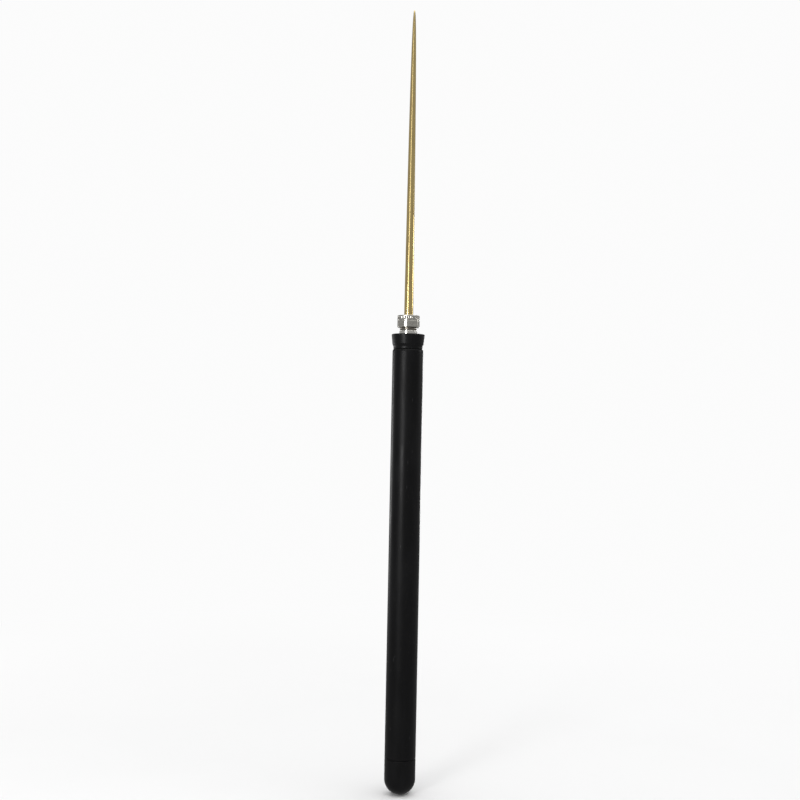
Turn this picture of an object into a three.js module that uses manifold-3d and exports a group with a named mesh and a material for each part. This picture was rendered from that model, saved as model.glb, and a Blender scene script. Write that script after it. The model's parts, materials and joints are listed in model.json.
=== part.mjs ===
// Spear-type grain moisture meter: a brass spear electrode clamped in a steel neck on a round black handle,
// which holds a measuring board and two cells. Millimetres, +Z from the foot to the point along the axis.
import * as THREE from 'three';
import { mergeVertices } from 'three/addons/utils/BufferGeometryUtils.js';
import Module from 'manifold-3d';

const wasm = await Module();
wasm.setup();

// ---- Driving sizes --------------------------------------------------------------------------------------
// Whole stick
const HANDLE_LENGTH = 384.2; // foot to the lip's front face
const HANDLE_RADIUS = 13;
const SPEAR_EXPOSED = 260; // nut's front face to the point
const SPEAR_RADIUS = 3.825;
const TAPER_POWER = 0.34; // radius grows with this power of the distance behind the point

// Clearances
const SEAT = 0.1; // between faces that bear on each other
const SLIP = 0.15; // radial, where a piece slides or turns in another
const LOOSE = 0.3; // round a piece that only lies beside another
const PAST = 1; // how far a cut runs past what it cuts

// Handle tube and lip
const TUBE_WALL = 2.7;
const TUBE_SHOULDER_LENGTH = 1.7;
const TUBE_SHOULDER_DROP = 0.4;
const LIP_RISE = 1; // lip's front edge beyond the handle
const LIP_LENGTH = 8.5;
const LIP_FLARE = 0.8; // lip's front edge beyond its back edge
const LIP_CHAMFER_LENGTH = 2;
const GROOVE_WIDTH = 2.1;
const GROOVE_DEPTH = 0.7;
const SPIGOT_LENGTH = 19;
const EDGE = 0.5; // broken edges of the lip and the cap's core

// Neck, nut and collet
const BUSH_WALL = 0.8;
const BUSH_FLANGE = 1.2;
const SHANK_WALL = 1.05;
const SHANK_END = 9.1; // threaded shank behind the spigot
const NECK_RING_STAND = 2.4; // ring's front above the lip's face
const NECK_SEAT_DEPTH = 0.5; // recess in the lip that the ring sits in
const NECK_RING_RISE = 0.2;
const NECK_LENGTH = 11.8; // lip's front face to the neck's front face
const NECK_WALL = 1;
const RELIEF = 0.4;
const CONE_RISE = 1.45;
const CONE_LENGTH = 6.4;
const COLLET_STAND = 0.3;
const COLLET_SLOT = 0.8;
const WASHER_THICKNESS = 0.9;
const NUT_WALL = 1.85;
const NUT_ROOF = 2.6;
const NUT_LENGTH = 10.1;
const NUT_EDGE = 0.3; // broken edges of the nut
const NUT_LINE_DEPTH = 0.25;
const NUT_LINE_PLACE = 4.3; // behind the nut's front face
const NUT_BORE_GAP = 0.4;

// Pieces behind the collar
const NECK_WASHER_THICKNESS = 1.2;
const NECK_WASHER_WIDTH = 1.8;
const TAG_THICKNESS = 0.6;
const TAG_WIDTH = 1.8;
const TAG_TAB_WIDTH = 2.8;
const LOCK_NUT_LENGTH = 5.5;
const LOCK_NUT_GAP = 0.5;
const RING_SECTION = 0.8; // collar seal
const RING_PLACE = 6.7; // below the spigot's shoulder
const RING_GROOVE = 2.4;

// Spear contact
const BLOCK_LENGTH = 28;
const BLOCK_MOUTH = 4.2; // depth of the socket for the spear's end
const SPEAR_SEATED = 2.2; // how far the spear's end enters the socket
const SPEAR_STAND = 2.95; // how far the spear's end stands out behind the bush
const SHOULDER = 5; // web between the socket and the spring chamber
const NOSE_RADIUS = 1.5;
const FLANGE_RADIUS = 2.4;
const FLANGE_THICKNESS = 1.9;
const PLUNGER_TAIL = 5;
const PLUNGER_TAIL_RADIUS = 1;
const CHAMBER_RADIUS = 2.6;
const TERMINAL_LENGTH = 4;
const TERMINAL_PLACE = 0.8; // inside the block's rear face
const PIN_RADIUS = 0.6;
const PIN_LENGTH = 6;
const PIN_HOLE_GAP = 1; // round the pin where it enters the carrier
const PLUNGER_WIRE = 0.28;
const PLUNGER_TURNS = 7;
const WIRE_SLOT = 2.6;

// Board and its carrier
const BULKHEAD = 2;
const CARRIER_GAP = 0.2;
const BOARD_DROP = 2; // board's underside below the stick's axis
const BOARD_THICKNESS = 1.6;
const BOARD_WIDTH = 14;
const BOARD_END_GAP = 8;
const TROUGH_WIDTH = 10;
const TROUGH_DEPTH = 4.6;
const BOSS_WIDTH = 5;
const SCREW_INSET = 8;
const SCREW_RADIUS = 1.1;
const SCREW_HOLE_GAP = 0.2;
const SCREW_HEAD_RADIUS = 2.1;
const SCREW_HEAD = 1.4;
const SCREW_TOP_RADIUS = 1.26;
const SCREW_DEPTH = 4.2;
const WIRE_RADIUS = 0.5;
const PAD_INSET = 9; // leads' pads behind the board's front edge

// Cells
const CELL_RADIUS = 7.1;
const CELL_LENGTH = 50.5;
const CELL_NUB = 1.2;
const CELL_NUB_RADIUS = 2.75;
const CELL_GAP = 0.2;
const CELL_BORE_GAP = 0.25;
const CELLS = ['cell_rear', 'cell_front'];
const CELL_RISE = 4.5; // tail thread's front end to the rear cell
const CONTACT_RADIUS = 6.5;
const CONTACT_THICKNESS = 0.8;
const CONTACT_TAB_WIDTH = 2.4;
const CONTACT_TAB_THICKNESS = 0.5;
const CONTACT_REACH = 4; // tab's length over the board
const HOLDER_END = 1.8;
const STRIP_WIDTH = 3;
const STRIP_THICKNESS = 0.4;
const STRIP_WALL_GAP = 0.35;
const STRIP_FOOT = 1.5;

// Tail cap
const CAP_LENGTH = 30;
const CAP_EDGE = 0.3;
const SEAM_GAP = 0.3;
const INSERT_WALL = 1;
const THREAD_SPARE = 1; // tube's thread in front of the core's
const INSERT_PLACE = 1.9; // inside the tube's rear end, past the seal
const CORE_WALL = 2.4;
const CORE_DEPTH = 12;
const CORE_FLOOR = 2;
const CORE_RISE = 13; // thread in front of the seam
const TAIL_RING_SECTION = 0.55;
const SPRING_SEAT_THICKNESS = 0.8;
const TAIL_WIRE = 0.55;
const TAIL_TURNS = 6;
const TAIL_SPRING_TOP = 3; // radius of its last turn

// Round-off: sides of the turned pieces
const SIDES_OUTER = 48;
const SIDES_INNER = 24;
const SIDES_SMALL = 16;
const LEAD_HALF_SIDES = 4; // half the number of sides of a lead
const SPRING_HALF_SIDES = 3; // half the number of sides of a spring's wire

// ---- Places worked out from them ------------------------------------------------------------------------
const insideRadius = HANDLE_RADIUS - TUBE_WALL;
const lipFace = HANDLE_LENGTH;
const lipBack = lipFace - LIP_LENGTH;
const grooveTop = lipBack - LIP_CHAMFER_LENGTH;
const collarShoulder = grooveTop - GROOVE_WIDTH;
const tubeFront = collarShoulder - LOOSE;
const spigotEnd = collarShoulder - SPIGOT_LENGTH;

const bushBore = SPEAR_RADIUS + SLIP;
const bushRadius = bushBore + BUSH_WALL;
const neckBore = bushRadius + SLIP;
const shankRadius = neckBore + SHANK_WALL;
const collarBore = shankRadius + SLIP;
const coneRadius = neckBore + CONE_RISE;
const neckRadius = coneRadius + NECK_WALL;
const nutBore = neckRadius + SLIP;
const nutRadius = nutBore + NUT_WALL;
const nutHole = SPEAR_RADIUS + NUT_BORE_GAP;
const neckFront = lipFace + NECK_LENGTH;
const coneBack = neckFront - CONE_LENGTH;
const washerBack = neckFront + COLLET_STAND + SEAT;
const nutRoof = washerBack + WASHER_THICKNESS + SEAT;
const nutFront = nutRoof + NUT_ROOF;
const nutBack = nutFront - NUT_LENGTH;
const spearPoint = nutFront + SPEAR_EXPOSED;

const neckWasherBack = spigotEnd - SEAT - NECK_WASHER_THICKNESS;
const tagBack = neckWasherBack - SEAT - TAG_THICKNESS;
const lockNutBack = tagBack - SEAT - LOCK_NUT_LENGTH;
const neckBack = spigotEnd - SHANK_END;
const neckSeat = lipFace - NECK_SEAT_DEPTH;
const neckRingRadius = neckRadius + NECK_RING_RISE;
const tagRadius = collarBore + TAG_WIDTH;
const lockNutCorner = insideRadius - LOCK_NUT_GAP;
const lockNutFlat = lockNutCorner * Math.cos(Math.PI / 6);
const wireRun = (lockNutFlat + insideRadius) / 2; // radius at which the ground lead passes the nut
const bushBack = neckBack - SLIP - BUSH_FLANGE;
const spearEnd = bushBack - SPEAR_STAND;

const blockFront = spearEnd + SPEAR_SEATED;
const blockBack = blockFront - BLOCK_LENGTH;
const socketFloor = blockFront - BLOCK_MOUTH;
const chamberFront = socketFloor - SHOULDER;
const flangeFront = chamberFront - SEAT;
const flangeBack = flangeFront - FLANGE_THICKNESS;
const terminalBack = blockBack + TERMINAL_PLACE;
const terminalFront = terminalBack + TERMINAL_LENGTH;
const pinEnd = terminalBack - PIN_LENGTH;

const insertBack = CAP_LENGTH + SEAM_GAP + INSERT_PLACE;
const insertRadius = insideRadius - SLIP;
const insertBore = insertRadius - INSERT_WALL;
const coreRadius = insertBore - SLIP;
const pocketRadius = coreRadius - CORE_WALL;
const coreBack = CAP_LENGTH - CORE_DEPTH;
const coreFloor = coreBack + CORE_FLOOR;
const coreFront = CAP_LENGTH + CORE_RISE;
const insertFront = coreFront + THREAD_SPARE;

const cellBase = insertFront + CELL_RISE;
const cellPitch = CELL_LENGTH + CELL_GAP;
const cellsTop = cellBase + CELLS.length * cellPitch - CELL_GAP;
const contactBack = cellsTop + LOOSE;
const holderWallBack = contactBack + CONTACT_THICKNESS + LOOSE;
const holderFront = holderWallBack + HOLDER_END;
const holderBack = insertFront + LOOSE;
const carrierRadius = insideRadius - CARRIER_GAP;

const sledBack = holderFront + LOOSE;
const sledFront = blockBack - LOOSE;
const boardBack = sledBack + BOARD_END_GAP;
const boardFront = sledFront - BOARD_END_GAP;
const boardMiddle = (boardBack + boardFront) / 2;
const boardUnder = -BOARD_DROP;
const boardTop = boardUnder + BOARD_THICKNESS;
const padZ = boardFront - PAD_INSET;
const padY = boardTop + WIRE_RADIUS + LOOSE;
const screwPlaces = {
  board_screw_rear: boardBack + SCREW_INSET,
  board_screw_front: boardFront - SCREW_INSET,
};
const stripInner = insideRadius - STRIP_WALL_GAP - STRIP_THICKNESS;

// ---- Finishes -------------------------------------------------------------------------------------------
const FINISHES = {
  brass: { color: 0xb79a5c, roughness: 0.32, metalness: 1 },
  steel: { color: 0xa9a8a2, roughness: 0.36, metalness: 1 },
  springSteel: { color: 0x8f9296, roughness: 0.4, metalness: 1 },
  blackPlastic: { color: 0x17171a, roughness: 0.5, metalness: 0 },
  greyPlastic: { color: 0x8c8f92, roughness: 0.6, metalness: 0 },
  whitePlastic: { color: 0xe6e3da, roughness: 0.5, metalness: 0 },
  rubber: { color: 0x111111, roughness: 0.85, metalness: 0 },
  boardGreen: { color: 0x1d5a38, roughness: 0.45, metalness: 0 },
  chipBlack: { color: 0x1a1b1d, roughness: 0.55, metalness: 0 },
  tin: { color: 0xc9ccd0, roughness: 0.3, metalness: 1 },
  cellSleeve: { color: 0x3d5f86, roughness: 0.35, metalness: 0.2 },
  redWire: { color: 0xa02420, roughness: 0.5, metalness: 0 },
  blackWire: { color: 0x1c1c1e, roughness: 0.5, metalness: 0 },
};

// ---- Shape helpers --------------------------------------------------------------------------------------
const meter = new THREE.Group();

function piece(name, geometry, finish) {
  const mesh = new THREE.Mesh(geometry, new THREE.MeshStandardMaterial(FINISHES[finish]));
  mesh.name = name;
  meter.add(mesh);
}

// A solid of revolution about Z. The outline is [radius, z] pairs, up the outside and down the inside.
function turned(outline, sides) {
  const points = outline.map(([r, z]) => new THREE.Vector2(r, z));
  return new THREE.LatheGeometry(points, sides).rotateX(Math.PI / 2);
}

function ring(inner, outer, back, front, sides) {
  return turned([[inner, back], [outer, back], [outer, front], [inner, front], [inner, back]], sides);
}

function rod(radius, back, front, sides) {
  return turned([[0, back], [radius, back], [radius, front], [0, front]], sides);
}

function sealRing(middleRadius, section, z, sides) {
  const CORNERS = 8;
  const outline = [];
  for (let i = 0; i <= CORNERS; i += 1) {
    const angle = ((i % CORNERS) / CORNERS) * 2 * Math.PI;
    outline.push([middleRadius + section * Math.cos(angle), z + section * Math.sin(angle)]);
  }
  return turned(outline, sides);
}

function block(low, high) {
  const size = high.map((value, i) => value - low[i]);
  return new THREE.BoxGeometry(...size).translate(...low.map((value, i) => value + size[i] / 2));
}

function disc(radius) {
  const shape = new THREE.Shape();
  shape.absarc(0, 0, radius, 0, 2 * Math.PI, false);
  return shape;
}

function swept(section, extrudePath, steps, curveSegments) {
  return new THREE.ExtrudeGeometry(section, { extrudePath, steps, curveSegments, bevelEnabled: false });
}

// A round-section body along a curve through the given points.
function drawn(points, radius, steps) {
  const path = new THREE.CatmullRomCurve3(points.map((p) => new THREE.Vector3(...p)));
  return swept(disc(radius), path, steps, LEAD_HALF_SIDES);
}

class CoilCurve extends THREE.Curve {
  constructor(radiusBack, radiusFront, back, front, turns) {
    super();
    Object.assign(this, { radiusBack, radiusFront, back, front, turns });
  }

  getPoint(t, target = new THREE.Vector3()) {
    const angle = t * this.turns * 2 * Math.PI;
    const radius = THREE.MathUtils.lerp(this.radiusBack, this.radiusFront, t);
    const z = THREE.MathUtils.lerp(this.back, this.front, t);
    return target.set(radius * Math.cos(angle), radius * Math.sin(angle), z);
  }
}

function coilSpring(radiusBack, radiusFront, back, front, wire, turns) {
  const STEPS_PER_TURN = 12;
  const path = new CoilCurve(radiusBack, radiusFront, back + wire, front - wire, turns);
  const steps = turns * STEPS_PER_TURN;
  return swept(disc(wire), path, steps, SPRING_HALF_SIDES);
}

function toSolid(geometry) {
  const bare = geometry.clone();
  bare.deleteAttribute('normal');
  bare.deleteAttribute('uv');
  const merged = mergeVertices(bare, 1e-4);
  const mesh = new wasm.Mesh({
    numProp: 3,
    vertProperties: merged.attributes.position.array,
    triVerts: new Uint32Array(merged.index.array),
  });
  return new wasm.Manifold(mesh);
}

function toGeometry(solid) {
  const mesh = solid.getMesh();
  const geometry = new THREE.BufferGeometry();
  geometry.setAttribute('position', new THREE.BufferAttribute(mesh.vertProperties, 3));
  geometry.setIndex(new THREE.BufferAttribute(mesh.triVerts, 1));
  geometry.computeVertexNormals();
  return geometry;
}

function combine(base, added, removed) {
  let solid = toSolid(base);
  for (const extra of added) solid = solid.add(toSolid(extra));
  for (const cut of removed) solid = solid.subtract(toSolid(cut));
  return toGeometry(solid);
}

// ---- Spear and clamp ------------------------------------------------------------------------------------
function spear() {
  const END_BREAK = 0.4;
  const STATIONS = [1, 0.85, 0.7, 0.55, 0.41, 0.29, 0.2, 0.13, 0.08, 0.045, 0.02, 0.008, 0.0015];
  const outline = [[0, spearEnd], [SPEAR_RADIUS - END_BREAK, spearEnd], [SPEAR_RADIUS, spearEnd + END_BREAK]];
  for (const share of STATIONS) {
    outline.push([SPEAR_RADIUS * share ** TAPER_POWER, spearPoint - SPEAR_EXPOSED * share]);
  }
  outline.push([0, spearPoint]);
  return turned(outline, SIDES_INNER);
}

function clampNut() {
  const line = nutFront - NUT_LINE_PLACE;
  return turned([
    [nutBore, nutBack],
    [nutRadius - NUT_EDGE, nutBack],
    [nutRadius, nutBack + NUT_EDGE],
    [nutRadius, line - NUT_LINE_DEPTH],
    [nutRadius - NUT_LINE_DEPTH, line],
    [nutRadius, line + NUT_LINE_DEPTH],
    [nutRadius, nutFront - NUT_EDGE],
    [nutRadius - NUT_EDGE, nutFront],
    [nutHole, nutFront],
    [nutHole, nutRoof],
    [nutBore, nutRoof],
    [nutBore, nutBack],
  ], SIDES_OUTER);
}

function collet() {
  const back = coneBack + SLIP;
  const slope = CONE_RISE / CONE_LENGTH;
  const backRadius = neckBore + slope * SLIP - SLIP;
  const body = turned([
    [bushBore, back],
    [backRadius, back],
    [coneRadius - SLIP, neckFront],
    [coneRadius - SLIP, neckFront + COLLET_STAND],
    [bushBore, neckFront + COLLET_STAND],
    [bushBore, back],
  ], SIDES_INNER);
  const slot = block([0, -COLLET_SLOT / 2, back - PAST], [neckRadius, COLLET_SLOT / 2, neckFront + PAST]);
  return combine(body, [], [slot]);
}

function neckFitting() {
  const ringBack = neckSeat + SEAT;
  const ringFront = lipFace + NECK_RING_STAND;
  return turned([
    [neckBore, neckBack],
    [shankRadius, neckBack],
    [shankRadius, ringBack],
    [neckRingRadius, ringBack],
    [neckRingRadius, ringFront],
    [neckRadius - RELIEF, ringFront + RELIEF],
    [neckRadius - RELIEF, ringFront + 2 * RELIEF],
    [neckRadius, ringFront + 3 * RELIEF],
    [neckRadius, neckFront - RELIEF],
    [neckRadius - RELIEF, neckFront],
    [coneRadius, neckFront],
    [neckBore, coneBack],
    [neckBore, neckBack],
  ], SIDES_OUTER);
}

function spearBush() {
  return turned([
    [bushBore, bushBack],
    [shankRadius, bushBack],
    [shankRadius, bushBack + BUSH_FLANGE],
    [bushRadius, bushBack + BUSH_FLANGE],
    [bushRadius, coneBack - LOOSE],
    [bushBore, coneBack - LOOSE],
    [bushBore, bushBack],
  ], SIDES_INNER);
}

// ---- Handle front ---------------------------------------------------------------------------------------
function frontCollar() {
  const spigotRadius = insideRadius - SLIP;
  const grooveRadius = insideRadius - 2 * RING_SECTION - 2 * SLIP;
  const ringMiddle = collarShoulder - RING_PLACE;
  const lipRadius = HANDLE_RADIUS + LIP_RISE;
  return turned([
    [collarBore, spigotEnd],
    [spigotRadius, spigotEnd],
    [spigotRadius, ringMiddle - RING_GROOVE / 2],
    [grooveRadius, ringMiddle - RING_GROOVE / 2],
    [grooveRadius, ringMiddle + RING_GROOVE / 2],
    [spigotRadius, ringMiddle + RING_GROOVE / 2],
    [spigotRadius, collarShoulder],
    [HANDLE_RADIUS - GROOVE_DEPTH, collarShoulder],
    [HANDLE_RADIUS - GROOVE_DEPTH, grooveTop],
    [lipRadius - LIP_FLARE, lipBack],
    [lipRadius, lipFace - EDGE],
    [lipRadius - EDGE, lipFace],
    [neckRingRadius + LOOSE, lipFace],
    [neckRingRadius + LOOSE, neckSeat],
    [collarBore, neckSeat],
    [collarBore, spigotEnd],
  ], SIDES_OUTER);
}

function collarRing() {
  const middle = insideRadius - RING_SECTION - SLIP;
  return sealRing(middle, RING_SECTION, collarShoulder - RING_PLACE, SIDES_INNER);
}

function handleTube() {
  const back = CAP_LENGTH + SEAM_GAP;
  const shoulderBack = tubeFront - TUBE_SHOULDER_LENGTH;
  return turned([
    [insideRadius, back],
    [HANDLE_RADIUS - CAP_EDGE, back],
    [HANDLE_RADIUS, back + CAP_EDGE],
    [HANDLE_RADIUS, shoulderBack],
    [HANDLE_RADIUS - TUBE_SHOULDER_DROP / 3, shoulderBack + TUBE_SHOULDER_LENGTH / 2],
    [HANDLE_RADIUS - TUBE_SHOULDER_DROP, tubeFront],
    [insideRadius, tubeFront],
    [insideRadius, back],
  ], SIDES_OUTER);
}

function groundTag() {
  const TAG_LAP = 1; // tab's root inside the washer
  const washer = ring(collarBore, tagRadius, tagBack, tagBack + TAG_THICKNESS, SIDES_INNER);
  const half = TAG_TAB_WIDTH / 2;
  const tab = block(
    [-half, tagRadius - TAG_LAP, tagBack],
    [half, wireRun + WIRE_RADIUS, tagBack + TAG_THICKNESS],
  );
  return combine(washer, [tab], []);
}

function lockNut() {
  const shape = new THREE.Shape();
  for (let corner = 0; corner < 6; corner += 1) {
    const angle = (corner * Math.PI) / 3;
    const place = [lockNutCorner * Math.cos(angle), lockNutCorner * Math.sin(angle)];
    if (corner === 0) shape.moveTo(...place);
    else shape.lineTo(...place);
  }
  shape.closePath();
  const hole = new THREE.Path();
  hole.absarc(0, 0, collarBore, 0, 2 * Math.PI, true);
  shape.holes.push(hole);
  const options = { depth: LOCK_NUT_LENGTH, bevelEnabled: false, curveSegments: SIDES_INNER / 2 };
  return new THREE.ExtrudeGeometry(shape, options).translate(0, 0, lockNutBack);
}

// ---- Spear contact --------------------------------------------------------------------------------------
function contactBlock() {
  const body = turned([
    [CHAMBER_RADIUS, blockBack],
    [carrierRadius, blockBack],
    [carrierRadius, blockFront],
    [SPEAR_RADIUS + LOOSE, blockFront],
    [SPEAR_RADIUS + LOOSE, socketFloor],
    [NOSE_RADIUS + SLIP, socketFloor],
    [NOSE_RADIUS + SLIP, chamberFront],
    [CHAMBER_RADIUS, chamberFront],
    [CHAMBER_RADIUS, blockBack],
  ], SIDES_INNER);
  const half = WIRE_SLOT / 2;
  const slotFloor = wireRun - WIRE_RADIUS - LOOSE;
  const slot = block([-half, slotFloor, blockBack - PAST], [half, insideRadius + PAST, blockFront + PAST]);
  return combine(body, [], [slot]);
}

function contactPlunger() {
  return turned([
    [0, flangeBack - PLUNGER_TAIL],
    [PLUNGER_TAIL_RADIUS, flangeBack - PLUNGER_TAIL],
    [PLUNGER_TAIL_RADIUS, flangeBack],
    [FLANGE_RADIUS, flangeBack],
    [FLANGE_RADIUS, flangeFront],
    [NOSE_RADIUS, flangeFront],
    [NOSE_RADIUS, spearEnd - LOOSE - NOSE_RADIUS / 2],
    [NOSE_RADIUS / 2, spearEnd - LOOSE],
    [0, spearEnd - LOOSE],
  ], SIDES_SMALL);
}

function plungerSpring() {
  const radius = CHAMBER_RADIUS - SLIP - PLUNGER_WIRE;
  return coilSpring(radius, radius, terminalFront + SEAT, flangeBack - SEAT, PLUNGER_WIRE, PLUNGER_TURNS);
}

function plungerTerminal() {
  return turned([
    [0, pinEnd],
    [PIN_RADIUS, pinEnd],
    [PIN_RADIUS, terminalBack],
    [CHAMBER_RADIUS - SLIP, terminalBack],
    [CHAMBER_RADIUS - SLIP, terminalFront],
    [0, terminalFront],
  ], SIDES_SMALL);
}

// ---- Board ----------------------------------------------------------------------------------------------
function screwHole(place, radius, low, high) {
  return rod(radius, low, high, SIDES_SMALL).rotateX(-Math.PI / 2).translate(0, 0, place);
}

function boardSled() {
  const body = rod(carrierRadius, sledBack, sledFront, SIDES_INNER);
  const floor = boardUnder - SEAT;
  const roofCut = block(
    [-insideRadius - PAST, floor, sledBack + BULKHEAD],
    [insideRadius + PAST, insideRadius + PAST, sledFront - BULKHEAD],
  );
  // The trough stops at each screw, which leaves a boss there.
  const halfTrough = TROUGH_WIDTH / 2;
  const stops = [sledBack + BULKHEAD, sledFront - BULKHEAD];
  for (const z of Object.values(screwPlaces)) stops.push(z - BOSS_WIDTH / 2, z + BOSS_WIDTH / 2);
  stops.sort((low, high) => low - high);
  const troughs = [];
  for (let i = 0; i < stops.length; i += 2) {
    troughs.push(block([-halfTrough, floor - TROUGH_DEPTH, stops[i]], [halfTrough, floor + PAST, stops[i + 1]]));
  }
  const holes = Object.values(screwPlaces).map((z) =>
    screwHole(z, SCREW_RADIUS + SLIP, floor - SCREW_DEPTH, floor + PAST));
  const pinHole = rod(PIN_RADIUS + PIN_HOLE_GAP, sledFront - BULKHEAD - PAST, sledFront + PAST, SIDES_SMALL);
  const halfSlot = WIRE_SLOT / 2;
  const wireNotch = block(
    [-halfSlot, wireRun - WIRE_RADIUS - LOOSE, sledFront - BULKHEAD - PAST],
    [halfSlot, insideRadius + PAST, sledFront + PAST],
  );
  const stripNotch = block(
    [stripInner - LOOSE, -STRIP_WIDTH / 2 - LOOSE, sledBack - PAST],
    [insideRadius + PAST, STRIP_WIDTH / 2 + LOOSE, sledBack + BULKHEAD + PAST],
  );
  const tabSlot = contactTabSpace(sledBack - PAST, sledBack + BULKHEAD + PAST);
  return combine(body, [], [roofCut, ...troughs, ...holes, pinHole, wireNotch, stripNotch, tabSlot]);
}

// The space that the front contact's tab needs through a wall.
function contactTabSpace(back, front) {
  const half = CONTACT_TAB_WIDTH / 2 + LOOSE;
  return block([-half, boardTop, back], [half, boardTop + 2 * LOOSE + CONTACT_TAB_THICKNESS, front]);
}

function sensorBoard() {
  const half = BOARD_WIDTH / 2;
  const body = block([-half, boardUnder, boardBack], [half, boardTop, boardFront]);
  const holes = Object.values(screwPlaces).map((z) =>
    screwHole(z, SCREW_RADIUS + SCREW_HOLE_GAP, boardUnder - PAST, boardTop + PAST));
  return combine(body, [], holes);
}

function boardScrew(place) {
  const tip = boardUnder - SEAT - SCREW_DEPTH + LOOSE;
  const seat = boardTop + SEAT;
  const outline = [
    [0, tip],
    [SCREW_RADIUS, tip],
    [SCREW_RADIUS, seat],
    [SCREW_HEAD_RADIUS, seat],
    [SCREW_HEAD_RADIUS, seat + SCREW_HEAD / 2],
    [SCREW_TOP_RADIUS, seat + SCREW_HEAD],
    [0, seat + SCREW_HEAD],
  ];
  return turned(outline, SIDES_SMALL).rotateX(-Math.PI / 2).translate(0, 0, place);
}

// Board components: [x from, x to, height, z from, z to], z measured from the board's middle.
const COMPONENTS = {
  radio_module: { box: [-6, 6, 2.4, 12, 28], finish: 'tin' },
  microcontroller: { box: [-4.5, 2.5, 1.1, -2, 5], finish: 'chipBlack' },
  oscillator_coil: { box: [-5.2, -0.2, 3.6, -15, -10], finish: 'chipBlack' },
  trim_capacitor: { box: [1.4, 5.4, 2.6, -14.5, -10.5], finish: 'whitePlastic' },
  crystal: { box: [3.4, 6, 2.2, -3, 5.2], finish: 'tin' },
};

function boardComponent([left, right, height, back, front]) {
  const stand = boardTop + SEAT;
  return block([left, stand, boardMiddle + back], [right, stand + height, boardMiddle + front]);
}

function timingCapacitor() {
  const RADIUS = 2;
  const HEIGHT = 4.4;
  const PLACE = [3.2, -21];
  const stand = boardTop + SEAT;
  return rod(RADIUS, stand, stand + HEIGHT, SIDES_SMALL)
    .rotateX(-Math.PI / 2)
    .translate(PLACE[0], 0, boardMiddle + PLACE[1]);
}

function groundLead() {
  return drawn([
    [0, wireRun, tagBack - LOOSE],
    [0, wireRun, blockFront - 6],
    [0, wireRun, blockBack],
    [0.1, wireRun, sledFront - BULKHEAD],
    [1.6, wireRun * 0.6, boardFront - 0.5],
    [3.6, padY + 1.2, padZ + 4],
    [4.2, padY, padZ],
  ], WIRE_RADIUS, 26);
}

function spearLead() {
  return drawn([
    [0, 0, pinEnd - LOOSE],
    [-0.6, 0.25, pinEnd - 2],
    [-2.6, 0.9, boardFront - 3],
    [-4.2, padY, padZ],
  ], WIRE_RADIUS, 14);
}

// ---- Cells ----------------------------------------------------------------------------------------------
function cellHolder() {
  const bore = CELL_RADIUS + CELL_BORE_GAP;
  const body = turned([
    [0, holderWallBack],
    [bore, holderWallBack],
    [bore, holderBack],
    [carrierRadius, holderBack],
    [carrierRadius, holderFront],
    [0, holderFront],
  ], SIDES_INNER);
  const stripGroove = block(
    [stripInner - LOOSE, -STRIP_WIDTH / 2 - LOOSE, holderBack - PAST],
    [insideRadius + PAST, STRIP_WIDTH / 2 + LOOSE, holderFront + PAST],
  );
  return combine(body, [], [stripGroove, contactTabSpace(holderWallBack - PAST, holderFront + PAST)]);
}

function cell(index) {
  const EDGE_BREAK = 0.5;
  const back = cellBase + index * cellPitch;
  const front = back + CELL_LENGTH;
  return turned([
    [0, back],
    [CELL_RADIUS - EDGE_BREAK, back],
    [CELL_RADIUS, back + EDGE_BREAK],
    [CELL_RADIUS, front - CELL_NUB - EDGE_BREAK],
    [CELL_RADIUS - EDGE_BREAK, front - CELL_NUB],
    [CELL_NUB_RADIUS, front - CELL_NUB],
    [CELL_NUB_RADIUS, front],
    [0, front],
  ], SIDES_INNER);
}

function frontContact() {
  const plate = rod(CONTACT_RADIUS, contactBack, contactBack + CONTACT_THICKNESS, SIDES_INNER);
  const half = CONTACT_TAB_WIDTH / 2;
  const under = boardTop + LOOSE;
  const tab = block(
    [-half, under, contactBack + CONTACT_THICKNESS / 2],
    [half, under + CONTACT_TAB_THICKNESS, boardBack + CONTACT_REACH],
  );
  return combine(plate, [tab], []);
}

function returnStrip() {
  const half = STRIP_WIDTH / 2;
  const front = boardBack + CONTACT_REACH + STRIP_FOOT;
  const run = block([stripInner, -half, holderBack], [stripInner + STRIP_THICKNESS, half, front]);
  const foot = block(
    [BOARD_WIDTH / 2 + LOOSE, -half, front - STRIP_FOOT],
    [stripInner + STRIP_THICKNESS / 2, half, front],
  );
  return combine(run, [foot], []);
}

// ---- Tail cap -------------------------------------------------------------------------------------------
function tailCap() {
  const DOME_STEPS = 9;
  const outline = [[0, 0]];
  for (let i = 1; i <= DOME_STEPS; i += 1) {
    const angle = (i / DOME_STEPS) * (Math.PI / 2);
    outline.push([HANDLE_RADIUS * Math.sin(angle), HANDLE_RADIUS * (1 - Math.cos(angle))]);
  }
  outline.push(
    [HANDLE_RADIUS, CAP_LENGTH - CAP_EDGE],
    [HANDLE_RADIUS - CAP_EDGE, CAP_LENGTH],
    [coreRadius + SLIP, CAP_LENGTH],
    [coreRadius + SLIP, coreBack - SLIP],
    [0, coreBack - SLIP],
  );
  return turned(outline, SIDES_OUTER);
}

function capCore() {
  return turned([
    [0, coreBack],
    [coreRadius, coreBack],
    [coreRadius, coreFront - EDGE],
    [coreRadius - EDGE, coreFront],
    [pocketRadius, coreFront],
    [pocketRadius, coreFloor],
    [0, coreFloor],
  ], SIDES_INNER);
}

function tailRing() {
  const z = CAP_LENGTH + SEAM_GAP + SEAT + TAIL_RING_SECTION;
  return sealRing((coreRadius + insideRadius) / 2, TAIL_RING_SECTION, z, SIDES_INNER);
}

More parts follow.
